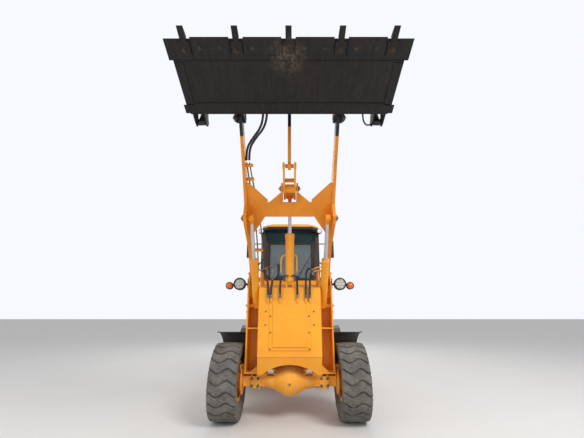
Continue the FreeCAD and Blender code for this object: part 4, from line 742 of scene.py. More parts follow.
pin_set("tower_pin_ends", "front_body", [(tower_side_x, *arm_pivot, 0.040), (tower_side_x, *lift_base, 0.030),
                                         (0.072, *tilt_base, 0.026)])
pin_set("arm_pin_ends", "arms", [(0.655, *lift_eye, 0.034)])
pin_set("rocker_pin_ends", "rocker_pin", [(0.120, *on_arm(0, 1.660, -0.080)[1:], 0.030)])
pin_set("link_pin_ends", "link_pin", [(0.055, *on_bucket(0, -0.185, 0.540)[1:], 0.024)])
pin_set("bucket_pin_ends", "bucket_pins", [(0.700, *bucket_pin, 0.034)])
build("tower_pin_keepers", [keeper(spot([0.676 * s, y, z]), s, 0.13, a) for s in (1.0, -1.0)
                        for y, z, a in ((0.080, 2.040, 2.3), (0.0, 1.620, -2.2))], "front_body",
      "machine_yellow", outwards=True)
build("arm_seams", [weld(spot(seam), 0.006) for side in (1.0, -1.0) for seam in (
    [on_arm(side * 0.603, 1.245, -0.117), on_arm(side * 0.603, 1.445, -0.117)],
    [on_arm(side * 0.121, 1.44, -0.112), on_arm(side * 0.121, 1.33, 0.004)],
    [on_arm(side * 0.087, 1.44, -0.112), on_arm(side * 0.087, 1.33, 0.004)],
    [on_arm(side * 0.569, 1.752, -0.114), on_arm(side * 0.318, 1.502, -0.114)],
)] + [weld(spot([on_arm(-0.55, 1.452, -0.112), on_arm(0.55, 1.452, -0.112)]), 0.006)], "arms",
      "machine_yellow")


# Gussets behind the crossbeam, and webs between the rocker's two plates
arm_up = np.array(on_arm(0, 0, 1)) - np.array(on_arm(0, 0, 0))
parts = [plate_between(spot([on_arm(side * x, u, -0.113)
                             for x, u in ((0.114, 1.446), (0.300, 1.446), (0.290, 1.462), (0.122, 1.612),
                                   (0.114, 1.612))]),
                       arm_up * 0.020) for side in (1.0, -1.0)]
# Painted shade: the gussets take the arms' finish, with its shade-darkened orange.
build("crossbeam_gussets", parts, "arms", "machine_yellow", "lift_arms_finish", outwards=True, smooth=False,
      bevel=0.002)
parts = []
for (u0, v0), (u1, v1), share in (((1.400, 0.240), (1.660, -0.080), 0.50),
                                  ((1.660, -0.080), (2.030, -0.220), 0.38)):
    length = math.hypot(u1 - u0, v1 - v0)
    du, dv = (u1 - u0) / length, (v1 - v0) / length
    middle_u, middle_v = u0 + (u1 - u0) * share, v0 + (v1 - v0) * share
    edge = [(middle_u - dv * h + du * t, middle_v + du * h + dv * t)
            for h, t in ((-0.036, -0.008), (0.036, -0.008), (0.036, 0.008), (-0.036, 0.008))]
    parts.append(plate_between(spot([on_arm(-0.0615, u, v) for u, v in edge]), [0.123, 0.0, 0.0]))
build("rocker_webs", parts, "rocker", "machine_yellow", outwards=True, smooth=False, bevel=0.002)


# Cylinders: gland rings with their bolts and wiper lips
def gland(base, eye, x, length, barrel, rod, bolts=8):
    """A gland at the barrel's open end: a stepped ring with a wiper lip, and bolts on a circle."""
    start, end = spot([x, *base]), spot([x, *eye])
    d, a, b = across(end - start)
    face = start + d * length
    ring = lathe([(-0.010, barrel * 1.085), (0.008, barrel * 1.085), (0.012, barrel * 1.04),
                  (0.012, rod * 1.5),
                  (0.020, rod * 1.42), (0.022, rod * 1.02)], face, d, 36)
    turn = np.arange(bolts) / bolts * 2 * math.pi
    places = face + d * 0.012 + (np.cos(turn)[:, None] * a + np.sin(turn)[:, None] * b) * barrel * 0.86
    return joined([ring, hex_heads(places, [d] * bolts, 0.010, 0.008, 1.2)])


clam_base, clam_eye = tuple(on_bucket(0, -0.190, 0.090)[1:]), tuple(on_bucket(0, -0.200, 0.930)[1:])
build("lift_glands", [gland(lift_base, lift_eye, x, 0.850, 0.056, 0.028)
                      for x in (-lift_cylinder_x, lift_cylinder_x)], "lift_barrels", "machine_yellow")
build("tilt_gland", [gland(tilt_base, tilt_eye, 0.0, 0.700, 0.066, 0.028)], "tilt_barrel", "machine_yellow")
build("clam_glands", [gland(clam_base, clam_eye, x, 0.500, 0.045, 0.020, 6)
                      for x in (-clam_cylinder_x, clam_cylinder_x)], "clam_barrels", "black_paint")


# Hoses and pipes
hose_diameter = 0.031


def ferrule(place, direction, radius=hose_diameter / 2):
    """A crimped sleeve with rings pressed in, and a hex nut at its foot."""
    nut = [(0.0, radius * 1.5), (0.012, radius * 1.5)]
    sleeve = [(0.012 + 0.004 * i, radius * (1.32 if i % 2 else 1.18)) for i in range(9)]
    return joined([lathe(nut, place, direction, 6),
                   lathe(sleeve + [(0.050, radius * 1.05)], place, direction, 20)])


def nurbs_line(corners, count=90):
    """The points of a NURBS spline of order 3 on a hose's route, at even steps of its parameter.

    The spline gives resolution times spans points, both ends with them. The resolution is the smallest of
    which every step-th point makes count of them."""
    spans = len(corners) - 1
    step = next(k for k in range(1, spans + 1) if (k * (count - 1) + 1) % spans == 0)
    curve = bpy.data.curves.new("route", "CURVE")
    curve.dimensions = "3D"
    spline = curve.splines.new("NURBS")
    spline.points.add(spans)
    for point, corner in zip(spline.points, corners):
        point.co = (*corner, 1.0)
    spline.order_u = 3
    spline.use_endpoint_u = True
    curve.resolution_u = spline.resolution_u = (step * (count - 1) + 1) // spans
    holder = bpy.data.objects.new("route", curve)
    mesh = bpy.data.meshes.new_from_object(holder)
    line = np.array([vertex.co for vertex in mesh.vertices], float)[::step]
    bpy.data.objects.remove(holder)
    bpy.data.curves.remove(curve)
    bpy.data.meshes.remove(mesh)
    return line


def hose(name, corners, bodies, diameter=hose_diameter):
    """A hydraulic hose between two bodies: a round tube on one smooth spline through its route.

    With one body the hose rides on it; with two it rides on neither, and its far end, a crimped fitting, rides
    on the second."""
    line = nurbs_line(spot(corners))
    points, faces = tube(line, diameter / 2, 14)
    piece = make(name, points, faces, None, "black_plastic", finishes["hose_rubber"])
    if len(set(bodies)) == 1:
        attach(piece, bodies[0])
    else:
        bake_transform(piece)
    way = line[-1] - line[-3]
    points, faces = ferrule(line[-1] + way / np.linalg.norm(way) * 0.034, -way, diameter / 2)
    fitting = make(name + "_fitting", points, faces, bodies[-1], "pin_steel", finishes["zinc_steel"])


def pipes_of(name, body, lines, finish, radius=0.010):
    """Steel pipes on smooth lines, as one piece on a body."""
    parts = [tube(smooth_line(spot(line), 60), radius, 14) for line in lines]
    return build(name, parts, body, "machine_yellow" if finish == "machine_yellow" else "pin_steel", finish)


fitting_z = 1.660
fitting_x = (-0.331, -0.286, -0.147, 0.117, 0.247, 0.308)
elbows, sleeves = [], []
for x in fitting_x:
    bend = smooth_line(spot([(x, -0.290, fitting_z), (x, -0.324, fitting_z), (x, -0.325, fitting_z + 0.07)]),
                       14)
    elbows += [tube(bend, 0.016, 16), hex_heads(spot([(x, -0.300, fitting_z)]), [ahead], 0.038, 0.014, 1.3)]
    sleeves.append(ferrule(spot([x, -0.325, fitting_z + 0.060]), [0, 0, 1]))
build("tower_hose_sleeves", sleeves, "front_body", "pin_steel", "zinc_steel")
build("tower_hose_elbows", elbows, "front_body", "machine_yellow")
# Two holes in the cover, drawn as shallow black dishes: their black is painted shade of the holes' insides.
holes = [lathe([(0.0005, 0.013), (0.0015, 0.012), (0.0005, 0.0105), (-0.001, 0.009)],
               spot([x, -0.300, 1.590]), ahead, 24) for x in (-0.160, 0.128)]
build("cover_holes_painted_shade", holes, "front_body", "black_paint")
hose_foot = fitting_z + 0.105

# The bucket's two pipes: from beside the arm pivot up inside the right arm, and past the crossbeam
pipe_runs = [
    [(-0.352, -0.296, 2.125), (-0.352, -0.290, 2.180), (-0.385, -0.250, 2.180), on_arm(-0.508, 0.22, -0.060),
     on_arm(-0.516, 0.32, -0.020),
     on_arm(-0.508, 0.87, -0.020), on_arm(-0.530, 1.15, 0.010), on_arm(-0.545, 1.45, 0.010),
     on_arm(-0.565, 1.71, -0.020), on_arm(-0.590, 2.02, -0.020)],
    [(-0.272, -0.300, 2.040), (-0.262, -0.300, 2.200), (-0.300, -0.280, 2.225), on_arm(-0.431, 0.24, -0.050),
     on_arm(-0.440, 0.34, -0.020),
     on_arm(-0.431, 0.87, -0.020), on_arm(-0.455, 1.15, 0.010), on_arm(-0.480, 1.45, 0.010),
     on_arm(-0.520, 1.71, -0.020), on_arm(-0.552, 2.02, -0.020)],
]
pipes_of("bucket_pipes", "arms", pipe_runs, "zinc_steel")
clips = []
for u, x0, x1 in ((0.60, -0.606, -0.425), (1.78, -0.606, -0.500), (1.98, -0.606, -0.505)):
    clips.append(bar([on_arm(0, u + a, v)[1:]
                      for a, v in ((-0.02, -0.036), (0.02, -0.036), (0.02, -0.030), (-0.02, -0.030))], x0, x1))
    clips.append(bar([on_arm(0, u + a, v)[1:]
                      for a, v in ((-0.02, -0.009), (0.02, -0.009), (0.02, -0.003), (-0.02, -0.003))], x0, x1))
build("bucket_pipe_clips", clips, "arms", "machine_yellow", from_axle=True, outwards=True, smooth=False,
      bevel=0.0015)

# Pipes of the tilt cylinder, one on each side of its barrel
tilt_port = np.array([0.0, *tilt_base]) + tilt_way * 0.375
runs = []
for side, x in ((-1.0, -0.138), (1.0, 0.110)):
    foot = np.array([x, -0.378, 2.110])
    runs.append([foot, foot + tilt_way * 0.10, [x * 0.99, *(foot + tilt_way * 0.20)[1:]],
                 tilt_port + [side * 0.105, 0, 0.010], tilt_port + [side * 0.050, 0, 0]])
pipes_of("tilt_pipes", "tilt_barrel", runs, "machine_yellow")

# Pipes of the left lift cylinder
runs = [[(0.378, -0.395, 2.158), (0.410, -0.420, 2.176), (0.450, -0.455, 2.176), (0.500, -0.475, 2.176)],
        [(0.372, -0.395, 2.110), (0.400, -0.415, 2.130), (0.450, -0.440, 2.130), (0.500, -0.455, 2.130)]]
pipes_of("lift_pipes", "lift_barrels", runs, "machine_yellow")

routes = (
    ("right_outer", [(-0.331, -0.325, hose_foot), (-0.335, -0.325, 1.90), (-0.352, -0.305, 2.02),
                     (-0.352, -0.298, 2.090)], "arms"),
    ("right_inner", [(-0.286, -0.325, hose_foot), (-0.290, -0.325, 1.86), (-0.272, -0.305, 1.95),
                     (-0.272, -0.300, 2.005)], "arms"),
    ("tilt_right", [(-0.147, -0.325, hose_foot), (-0.152, -0.330, 1.88), (-0.140, -0.366, 1.99),
                    (-0.138, -0.372, 2.075)], "tilt_barrel"),
    ("tilt_left", [(0.117, -0.325, hose_foot), (0.116, -0.330, 1.88), (0.109, -0.366, 1.99),
                   (0.110, -0.372, 2.075)], "tilt_barrel"),
    ("left_inner", [(0.247, -0.325, hose_foot), (0.246, -0.325, 1.93), (0.252, -0.340, 2.10),
                    (0.290, -0.360, 2.190), (0.350, -0.378, 2.150)], "lift_barrels"),
    ("left_outer", [(0.308, -0.325, hose_foot), (0.309, -0.325, 1.90), (0.312, -0.340, 2.04),
                    (0.335, -0.365, 2.120), (0.352, -0.380, 2.088)], "lift_barrels"),
)
for key, route, body in routes:
    hose(f"hose_{key}", route, ("front_body", body))
for key, x in (("a", -0.590), ("b", -0.552)):
    far = -0.320 if key == "a" else -0.272
    route = [on_arm(x, 2.055, -0.020), on_arm(x + 0.005, 2.20, -0.020), on_arm(x + 0.09, 2.34, -0.030),
             on_arm(far - 0.045, 2.50, -0.020),
             (far - 0.006, -1.800, 3.985), (far, -1.905, 4.080)]
    hose(f"hose_bucket_{key}", route, ("arms", "bucket_pins"))
clam_route = [(0.900, -1.930, 3.862), (0.905, -1.875, 3.800), (0.960, -1.800, 3.765), (1.030, -1.765, 3.795),
              (1.068, -1.762, 3.836)]
hose("hose_clam", clam_route, ("bucket",), 0.020)


def barrel_pipe(x, side):
    """A pipe beside a lift barrel, joined into it near its open end and held by a band at its middle."""
    start = spot([x, *lift_base])
    front = np.cross(lift_way, [1.0, 0.0, 0.0])
    out = np.array([-side * 0.55, 0, 0]) + front * 0.835
    places = ((0.12, 0.080), (0.30, 0.080), (0.55, 0.080), (0.70, 0.080), (0.725, 0.075), (0.725, 0.050))
    line = [start + lift_way * along + out * away for along, away in places]
    middle = start + lift_way * 0.60
    band = ring([(-0.016, 0.0555), (-0.014, 0.0605), (0.014, 0.0605), (0.016, 0.0555)], middle, lift_way)
    saddle = tube([middle + out * 0.055, middle + out * 0.094], 0.016, 12)
    return joined([tube(smooth_line(line, 40), 0.009, 12), band, saddle])


build("lift_barrel_pipes", [barrel_pipe(side * lift_cylinder_x, side) for side in (1.0, -1.0)],
      "lift_barrels", "machine_yellow")


# Lamps
def lamp_face(x, y, z, radius, depth=0.024):
    """A rim turned about the lamp's axis: a lip, a step and the flat seat for its glass."""
    rim = [(-0.004, radius * 1.004), (depth * 0.7, radius * 1.02), (depth, radius * 0.985),
           (depth * 1.08, radius * 0.90),
           (depth * 0.8, radius * 0.83), (depth * 0.5, radius * 0.81)]
    return lathe(rim, spot([x, y, z]), ahead, 48)


def lamp_glass(x, y, z, radius, start, bulge):
    """A domed glass: its height falls off as the square of the distance from the axis."""
    r = np.linspace(1.0, 0.02, 9)
    dome = [(start, radius)] + [(start + 0.003 + bulge * (1 - q * q), radius * q) for q in r]
    return lathe(dome, spot([x, y, z]), ahead, 44)


lamp_x, lamp_y, lamp_z, lamp_radius = 0.802, -0.160, 1.950, 0.096
signal_x, signal_y, signal_z, signal_radius = 0.967, -0.140, 1.925, 0.058
rims, glasses, bowls, ambers = [], [], [], []
for side in (1.0, -1.0):
    rims += [lamp_face(side * lamp_x, lamp_y, lamp_z, lamp_radius),
             lamp_face(side * signal_x, signal_y, signal_z, signal_radius, 0.014)]
    glasses.append(lamp_glass(side * lamp_x, lamp_y, lamp_z, lamp_radius * 0.82, 0.013, 0.010))
    ambers.append(lamp_glass(side * signal_x, signal_y, signal_z, signal_radius * 0.82, 0.007, 0.022))
    turn = np.arange(6) / 6 * 2 * math.pi
    for dx, dz in [(0.0, 0.0)] + list(zip(0.049 * np.cos(turn), 0.049 * np.sin(turn))):
        bowl = [(0.011, 0.0225), (0.0145, 0.0215), (0.0150, 0.019), (0.0130, 0.013), (0.0126, 0.007),
                (0.0155, 0.006), (0.0158, 0.001)]
        bowls.append(lathe(bowl, spot([side * lamp_x + dx, lamp_y, lamp_z + dz]), ahead, 20))
build("headlamp_rims", rims, "front_body", "black_plastic")
build("headlamp_glasses", glasses, "front_body", "cab_glass", "lamp_glass")
build("headlamp_bowls", bowls, "front_body", "rod_chrome", "white_lamp")
build("turn_signal_glasses", ambers, "front_body", "machine_yellow", "amber_glass")
rims, glasses = [], []
for side in (1.0, -1.0):
    rims.append(lamp_face(side * 0.585, 0.820, 3.075, 0.050, 0.012))
    glasses.append(lamp_glass(side * 0.585, 0.820, 3.075, 0.041, 0.006, 0.006))
build("work_lamp_rims", rims, "rear_body", "black_plastic")
build("work_lamp_glasses", glasses, "rear_body", "cab_glass", "white_lamp")


# Cab
def front_y(z):
    """Y of the cab's front face at a height: it leans back 80 mm over 1030 mm."""
    return 0.840 + (z - 2.100) * 0.080 / 1.030


def loop(corners, radius, sides=10, count=16):
    """A rubber seal: a tube round a closed outline, its corners kept."""
    corners = np.asarray(list(corners) + [corners[0]], float)
    runs = []
    for a, b in zip(corners[:-1], corners[1:]):
        runs.append(a + (b - a) * np.linspace(0, 1, count)[:, None])
    return joined([tube(run, radius, sides) for run in runs])


screen = [(-0.456, 2.131), (0.456, 2.131), (0.520, 3.105), (-0.520, 3.105)]
seals = [loop(spot([(x, front_y(z) - 0.001, z) for x, z in screen]), 0.011)]
seals.append(loop(spot([(x, 2.130 + 0.002 - (z - 2.10) * 0.060 / 1.030, z) for x, z in
                        [(-0.49, 2.13), (0.49, 2.13), (0.49, 3.07), (-0.49, 3.07)]]), 0.011))
seals.append(loop(spot([(-0.581, y, z) for y, z in [(1.04, 2.04), (1.95, 2.04), (1.95, 3.07), (1.04, 3.07)]]),
                  0.010))
build("cab_window_seals", seals, "rear_body", "black_plastic", "hose_rubber")
build("door_window_seal", [loop(spot([(0.581, y, z)
                                      for y, z in [(1.08, 1.77), (1.83, 1.77), (1.83, 2.93), (1.08, 2.93)]]),
                                0.010)], "door", "black_plastic", "hose_rubber")


def front_plate(outline, thickness=0.006, lift=0.003):
    """A plate on the cab's leaning front, from an (x, z) outline."""
    return plate_between(spot([(x, front_y(z) - lift, z) for x, z in outline]), [0.0, -thickness, 0.0])


posts = []
for side in (1.0, -1.0):
    posts.append(front_plate([(side * x, z)
                              for x, z in ((0.470, 2.125), (0.576, 2.125), (0.576, 3.122), (0.534, 3.122))]))
posts.append(front_plate([(-0.534, 3.108), (0.534, 3.108), (0.540, 3.124), (-0.540, 3.124)]))
posts.append(front_plate([(-0.576, 2.102), (0.576, 2.102), (0.576, 2.119), (-0.576, 2.119)]))
build("cab_front_posts", posts, "rear_body", "black_paint", outwards=True, smooth=False, bevel=0.002)
build("cab_headliner", [rounded_slab(spot([-0.524, 0.935, 3.086]), spot([0.524, 2.020, 3.128]), power=12)],
      "rear_body", "black_plastic")
eave = [(-0.430, 0.826), (0.430, 0.826), (0.566, 0.975), (0.566, 1.000), (-0.566, 1.000), (-0.566, 0.975)]
build("roof_front_underside", [plate_between([(x, y, 3.1285) for x, y in eave], [0.0, 0.0, -0.0105])],
      "rear_body", "black_paint", from_axle=True, outwards=True, smooth=False)

# Wiper: a spindle, a bent arm, and a blade with its rubber
parts = []
wiper = [(0.131, front_y(2.12) - 0.018, 2.120), (0.150, front_y(2.17) - 0.034, 2.170),
         (0.330, front_y(2.46) - 0.034, 2.460), (0.352, front_y(2.49) - 0.020, 2.495)]
parts.append(tube(smooth_line(spot(wiper), 30), 0.006, 8))
parts.append(lathe([(0.0, 0.018), (0.020, 0.017), (0.026, 0.010)], spot([0.131, front_y(2.12), 2.120]), ahead,
                   16))
blade = spot([(0.190 + 0.36 * t, front_y(2.22 + 0.62 * t) - 0.016, 2.220 + 0.62 * t)
              for t in np.linspace(0, 1, 30)])
parts.append(tube(blade, 0.0055, 6))
build("wiper", parts, "rear_body", "black_plastic")

# Inside the cab: dash, lever console, seat
dash = [rounded_slab(spot([-0.430, 0.895, 1.930]), spot([0.430, 1.060, 2.165]), power=5, rows=14, columns=36)]
for x in (-0.2, -0.08, 0.08, 0.2):
    dash.append(lathe([(0.0, 0.034), (0.010, 0.034), (0.012, 0.029), (0.006, 0.028)], spot([x, 1.058, 2.085]),
                      [0, 1, 0.35], 24))
build("dash", dash, "rear_body", "black_plastic")
console = [rounded_slab(spot([-0.470, 1.520, 1.31]), spot([-0.290, 1.930, 1.780]), power=6, rows=14,
                        columns=30)]
for y in (1.580, 1.650, 1.720):
    stick = smooth_line(spot([(-0.380, y, 1.775), (-0.380, y - 0.020, 1.850), (-0.378, y - 0.045, 1.930)]),
                        12)
    console += [tube(stick, 0.007, 8), lathe([(0.0, 0.010), (0.012, 0.020), (0.036, 0.021), (0.050, 0.012),
                                              (0.052, 0.002)], stick[-1] - [0, 0, 0.006], [0, -0.3, 1], 16)]
build("lever_console", console, "rear_body", "black_plastic")


def cushion(low, high, lean=0.0, crown=0.02, bolster=0.025, rows=28, columns=48):
    """A seat pad: a rounded block whose top crowns between raised side bolsters, with two sewn channels.

    Across its width the top rises by bolster at |x| near 0.8 and falls by a channel at |x| = 0.55."""
    low, high = np.asarray(low, float), np.asarray(high, float)
    points, faces = rounded_slab(low, high, power=5.0, rows=rows, columns=columns)
    middle, half = (low + high) / 2, (high - low) / 2
    u = (points - middle) / half
    top = np.clip(u[:, 2], 0, 1)
    across_x = np.abs(u[:, 0])
    rise = crown * (1 - u[:, 0] ** 2) * (1 - u[:,
                                               1] ** 2) + bolster * np.exp(-((across_x - 0.80) / 0.12) ** 2)
    rise -= 0.016 * np.exp(-((across_x - 0.55) / 0.035) ** 2)
    rise -= 0.010 * np.exp(-((np.abs(u[:, 1]) - 0.35) / 0.04) ** 2) * (across_x < 0.5)
    points[:, 2] += top * rise
    points[:, 1] += lean * (points[:, 2] - low[2])
    return points, faces


def seat_pad(name, points, faces, stands_for=()):
    """A padded piece with one level of subdivision, sewn in cloth."""
    piece = make(name, points, faces, "rear_body", "seat_cloth", finishes["seat_cloth"], stands_for)
    soft = piece.modifiers.new("soft", "SUBSURF")
    soft.levels = soft.render_levels = 1
    return piece


points, faces = cushion([-0.245, 1.500, 1.600], [0.245, 1.960, 1.700])
seat_pad("seat_cushion", spot(points), faces, ("seat",))
points, faces = cushion([-0.235, -0.300, 0.0], [0.235, 0.300, 0.085])
lean = math.atan2(0.060, 0.600)
upright = np.column_stack([points[:, 0], -points[:, 2], points[:, 1]])
turned = np.column_stack([upright[:, 0], upright[:, 1] * math.cos(lean) + upright[:, 2] * math.sin(lean),
                          -upright[:, 1] * math.sin(lean) + upright[:, 2] * math.cos(lean)])
seat_pad("seat_back", spot(turned + [0.0, 1.975, 2.020]), faces)

# Handles and rails of the cab
grip = [(0.582, 1.100, 1.62), (0.622, 1.100, 1.62), (0.624, 1.100, 1.66), (0.624, 1.100, 1.70),
        (0.582, 1.100, 1.70)]
build("door_handle", [tube(smooth_line(spot(grip), 24), 0.008, 10)], "door", "black_plastic")
rails = []
for side in (1.0, -1.0):
    rail = [(side * 0.578, 0.905, 1.45), (side * 0.640, 0.905, 1.45), (side * 0.645, 0.905, 1.60),
            (side * 0.645, 0.915, 2.20), (side * 0.640, 0.935, 2.45), (side * 0.578, 0.935, 2.46)]
    rails.append(tube(smooth_line(spot(rail), 50), 0.013, 12))
    rails += [lathe([(0.0, 0.026), (0.006, 0.026), (0.008, 0.014)], spot([side * 0.578, y, z]), [side, 0, 0],
                    16) for y, z in ((0.905, 1.45), (0.935, 2.46))]
build("cab_handrails", rails, "rear_body", "black_paint")
glasses = [rounded_slab(spot([side * 0.830 - 0.030, 0.9195, 2.565]),
                        spot([side * 0.830 + 0.030, 0.9225, 2.865]), power=14) for side in (1.0, -1.0)]
build("mirror_glasses", glasses, "rear_body", "rod_chrome", "mirror_glass")


# Axles: the flat band down the middle of each housing, clamps over its arms, and the brake lines
def axle_band(middle_y, front):
    """A band round the housing's middle, a little prouder than the housing, and a plug on its face."""
    face = -1.0 if front else 1.0
    hoop = ring([(-0.050, 0.1990), (-0.044, 0.2110), (0.044, 0.2110), (0.050, 0.1990)],
                spot([0.0, middle_y, axle_z]), [1, 0, 0], 64)
    cap = lathe([(0.0, 0.034), (0.006, 0.034), (0.008, 0.030)], spot([0.0, middle_y + face * 0.208, 0.520]),
                [0, face, 0], 6)
    return joined([hoop, cap])


build("front_axle_band", [axle_band(0.0, True)], "front_body", "machine_yellow", outwards=True)
build("rear_axle_band", [axle_band(wheelbase, False)], "rear_body", "machine_yellow", outwards=True)


def axle_clamps(middle_y, top, cut, inside):
    """Four straps over an axle's arms, chamfered by cut at the top, each held by two bolts from below."""
    outline = [(-0.082, 0.450), (-0.082, top - cut), (cut - 0.082, top)]
    outline += [(-y, z) for y, z in reversed(outline)]
    outline += [(0.076, 0.450), (0.076, inside), (-0.076, inside), (-0.076, 0.450)]
    strap = [(middle_y + y, z) for y, z in outline]
    clamps = []
    for x in (0.455, 0.565, -0.455, -0.565):
        clamps.append(bar(strap, x - 0.014, x + 0.014))
        bolts = [[x, middle_y + y, 0.455] for y in (-0.079, 0.079)]
        clamps.append(hex_heads(bolts, [[0, 0, -1]] * 2, 0.024, 0.030, 1.2))
    return clamps


parts = axle_clamps(0.0, 0.628, 0.010, 0.612)
for side in (1.0, -1.0):
    line = [(side * 0.20, -0.150, 0.640), (side * 0.30, -0.110, 0.650), (side * 0.45, -0.092, 0.640),
            (side * 0.62, -0.090, 0.650), (side * 0.68, -0.075, 0.690)]
    parts.append(tube(smooth_line(line, 40), 0.005, 8))
build("front_axle_clamps", parts, "front_body", "machine_yellow", from_axle=True, outwards=True)
parts = axle_clamps(wheelbase, 0.606, 0.006, 0.596)
build("rear_axle_clamps", parts, "rear_body", "machine_yellow", from_axle=True, outwards=True)

# Hood: louvres on both sides, latches, the mesh behind the grille's slots and a handle
parts = []
for side in (1.0, -1.0):
    for y0 in (2.52, 3.00):
        for k in range(12):
            z = 1.330 + 0.034 * k
            wave = [(0.520, z), (0.530, z + 0.004), (0.538, z + 0.010), (0.534, z + 0.022),
                    (0.520, z + 0.026)]
            parts.append(plate_between([(side * x, y0, h) for x, h in wave], [0.0, 0.40, 0.0]))
build("hood_louvres", parts, "hood", "machine_yellow", from_axle=True, outwards=True, smooth=False)
parts = []
for side in (1.0, -1.0):
    for y in (2.36, 3.72):
        parts.append(rounded_slab([side * 0.5215 - 0.012, y - 0.022, 1.262],
                                  [side * 0.5215 + 0.012, y + 0.022, 1.340], power=8))
        parts.append(lathe([(0.0, 0.009), (0.012, 0.009), (0.014, 0.006)], [side * 0.533, y, 1.300],
                           [side, 0, 0], 12))
build("hood_latches", parts, "hood", "black_plastic", from_axle=True)
wires = [tube(np.array([[x, 3.868, 1.345], [x, 3.868, 1.775]]), 0.0022, 4)
         for x in np.arange(-0.395, 0.396, 0.020)]
wires += [tube(np.array([[-0.398, 3.864, z], [0.398, 3.864, z]]), 0.0022, 4)
          for z in np.arange(1.350, 1.775, 0.020)]
build("grille_mesh", wires, "hood", "black_paint", from_axle=True)
grab = smooth_line(spot([(-0.16, 3.898, 1.880), (-0.16, 3.945, 1.880), (-0.15, 3.948, 1.880),
                         (0.15, 3.948, 1.880), (0.16, 3.945, 1.880), (0.16, 3.898, 1.880)]), 50)
build("hood_handle", [tube(grab, 0.010, 10)], "hood", "black_plastic")

# Exhaust: rings at the pipe's ends, clamp bands, and a rain flap with its hinge
pipe_x, pipe_y = -0.330, 3.250
parts = [lathe([(0.0, 0.0415), (0.010, 0.0425), (0.022, 0.0415)], spot([pipe_x, pipe_y, z]), [0, 0, 1], 28)
         for z in (2.460, 2.715)]
for z in (2.075, 2.405):
    parts.append(lathe([(0.0, 0.0755), (0.004, 0.0785), (0.020, 0.0785), (0.024, 0.0755)],
                       spot([pipe_x, pipe_y, z]), [0, 0, 1], 36))
flap = lathe([(0.0, 0.044), (0.004, 0.044), (0.006, 0.040)], spot([pipe_x, pipe_y + 0.004, 2.752]),
             [0, 0.28, 1], 28)
parts += [flap, tube(spot([[pipe_x - 0.03, pipe_y + 0.045, 2.742], [pipe_x + 0.03, pipe_y + 0.045, 2.742]]),
                     0.006, 8)]
build("exhaust_trim", parts, "hood", "black_paint", "engine_iron")

# Counterweight: rear lamps, bolts; tanks: caps, straps and step grips
parts, reds, ambers = [], [], []
for side in (1.0, -1.0):
    x = side * 0.600
    parts.append(rounded_slab([x - 0.085, 4.110, 1.209], [x + 0.085, 4.180, 1.300], power=9))
    reds.append(rounded_slab([x - 0.078, 4.150, 1.217], [x + 0.010, 4.195, 1.292], power=7))
    ambers.append(rounded_slab([x + 0.014, 4.150, 1.217], [x + 0.078, 4.195, 1.292], power=7))
build("rear_lamp_cases", parts, "rear_body", "black_plastic", from_axle=True)
build("rear_lamp_reds", reds, "rear_body", "machine_yellow", "red_glass", from_axle=True)
build("rear_lamp_ambers", ambers, "rear_body", "machine_yellow", "amber_glass", from_axle=True)
places = [(x, y, 1.209) for x in (-0.36, 0.36) for y in (4.01, 4.14)]
build("counterweight_bolts", [hex_heads(spot(places), [[0, 0, 1]] * 4, 0.046, 0.028, 1.4)], "rear_body",
      "black_paint", "bolt_steel")
tank_low_y, tank_high_y = 1.520, 1.880
parts, grips = [], []
for side in (1.0, -1.0):
    parts.append(lathe([(0.0, 0.050), (0.010, 0.050), (0.012, 0.044), (0.034, 0.044), (0.038, 0.038),
                        (0.038, 0.006)], spot([side * 0.640, tank_high_y - 0.10, 1.059]), [0, 0, 1], 28))
    for y in (tank_low_y + 0.08, tank_high_y - 0.08):
        strap = [(0.478, 0.698), (0.478, 1.0625), (0.7625, 1.0625), (0.7625, 0.698), (0.760, 0.698),
                 (0.760, 1.060), (0.4805, 1.060), (0.4805, 0.698)]
        parts.append(plate_between(spot([(side * x, y - 0.02, z) for x, z in strap]), [0.0, 0.04, 0.0]))
    for top, reach in ((0.440, 0.895), (0.760, 0.855)):
        for x in np.arange(0.725, reach, 0.026):
            for y in np.arange(tank_low_y + 0.035, tank_high_y - 0.03, 0.026):
                grips.append(lathe([(-0.001, 0.008), (0.003, 0.0075), (0.0035, 0.004)],
                                   spot([side * x, y, top]), [0, 0, 1], 8))
build("tank_caps_and_straps", parts, "rear_body", "black_paint", outwards=True)
build("step_grips", grips, "rear_body", "black_paint", "zinc_steel")

# Fenders: a rolled rim along each edge, as a tube on the arc
def rim_arc(middle_y, radius, start, stop, x):
    """A rolled edge: a tube along an arc about the wheel's axle."""
    turn = np.radians(np.linspace(start, stop, 40))
    arc = np.stack([np.full(40, x), middle_y + radius * np.cos(turn), axle_z + radius * np.sin(turn)], 1)
    return tube(spot(arc), 0.008, 8)


build("front_fender_rims", [rim_arc(0.0, 0.684, 12, 92, side * x) for side in (1.0, -1.0)
                            for x in (0.684, 1.132)], "front_body", "black_paint")
build("rear_fender_rims", [rim_arc(wheelbase, 0.674, 35, 160, side * x) for side in (1.0, -1.0)
                           for x in (0.568, 1.127)], "rear_body", "black_paint")


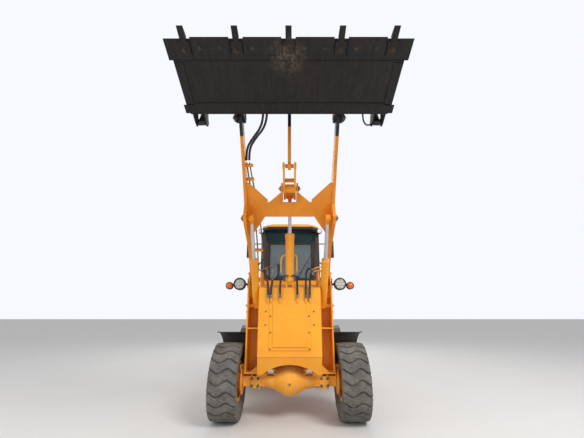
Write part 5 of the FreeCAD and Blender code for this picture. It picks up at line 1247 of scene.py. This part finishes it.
def floor_and_light():
    """A pale floor, a pale sky seen by camera and gloss, one large key light and a fill."""
    tree_world = bpy.data.worlds.new("pale_sky")
    bpy.context.scene.world = tree_world
    tree_world.use_nodes = True
    tree = tree_world.node_tree
    background = tree.nodes["Background"]
    background.inputs["Color"].default_value = (0.93, 0.95, 1.0, 1.0)
    path = put(tree, "LightPath")
    seen = times(tree, path.outputs["Is Camera Ray"], path.outputs["Is Glossy Ray"], "MAXIMUM")
    seen = times(tree, seen, path.outputs["Is Transmission Ray"], "MAXIMUM")
    strength = put(tree, "MapRange", None, Value=seen, To_Min=0.62, To_Max=1.0).outputs[0]
    tree.links.new(strength, background.inputs["Strength"])
    mesh = bpy.data.meshes.new("floor")
    reach = 60.0
    mesh.from_pydata([(-reach, -reach, 0), (reach, -reach, 0), (reach, reach, 0), (-reach, reach, 0)], [],
                     [(0, 1, 2, 3)])
    floor = bpy.data.objects.new("floor", mesh)
    bpy.context.scene.collection.objects.link(floor)
    made, tree, shader, place = blank("pale_floor")
    tone = mixed(tree, noise(tree, place, 0.8), linear(214, 212, 208), linear(222, 220, 216))
    wire(tree, shader, Base_Color=tone, Roughness=0.9)
    mesh.materials.append(made)
    for name, place, aim, size, power in (
        ("key", (5.5, -8.0, 9.0), (0, -0.5, 2.0), 4.0, 900.0),
        ("fill", (-7.5, -6.0, 4.0), (0, 0, 1.6), 6.0, 220.0),
        ("back", (0.0, 8.0, 7.0), (0, 0, 1.5), 6.0, 260.0),
    ):
        lamp = bpy.data.lights.new(name, "AREA")
        lamp.size, lamp.energy = size, power
        holder = bpy.data.objects.new(name, lamp)
        holder.location = place
        holder.rotation_euler = (Vector(aim) - Vector(place)).to_track_quat("-Z", "Y").to_euler()
        bpy.context.scene.collection.objects.link(holder)


def photo_camera():
    """The photograph's view: ahead of the front axle, near the ground, pitched up."""
    data = bpy.data.cameras.new("photo_camera")
    data.lens, data.sensor_width = lens_mm, sensor_mm
    camera = bpy.data.objects.new("photo_camera", data)
    camera.location = (camera_side, front_axle_y - camera_distance, camera_height)
    camera.rotation_euler = (math.radians(90 + camera_pitch), 0, 0)
    bpy.context.scene.collection.objects.link(camera)
    bpy.context.scene.camera = camera


floor_and_light()
photo_camera()
bpy.context.scene.view_settings.view_transform = "Standard"
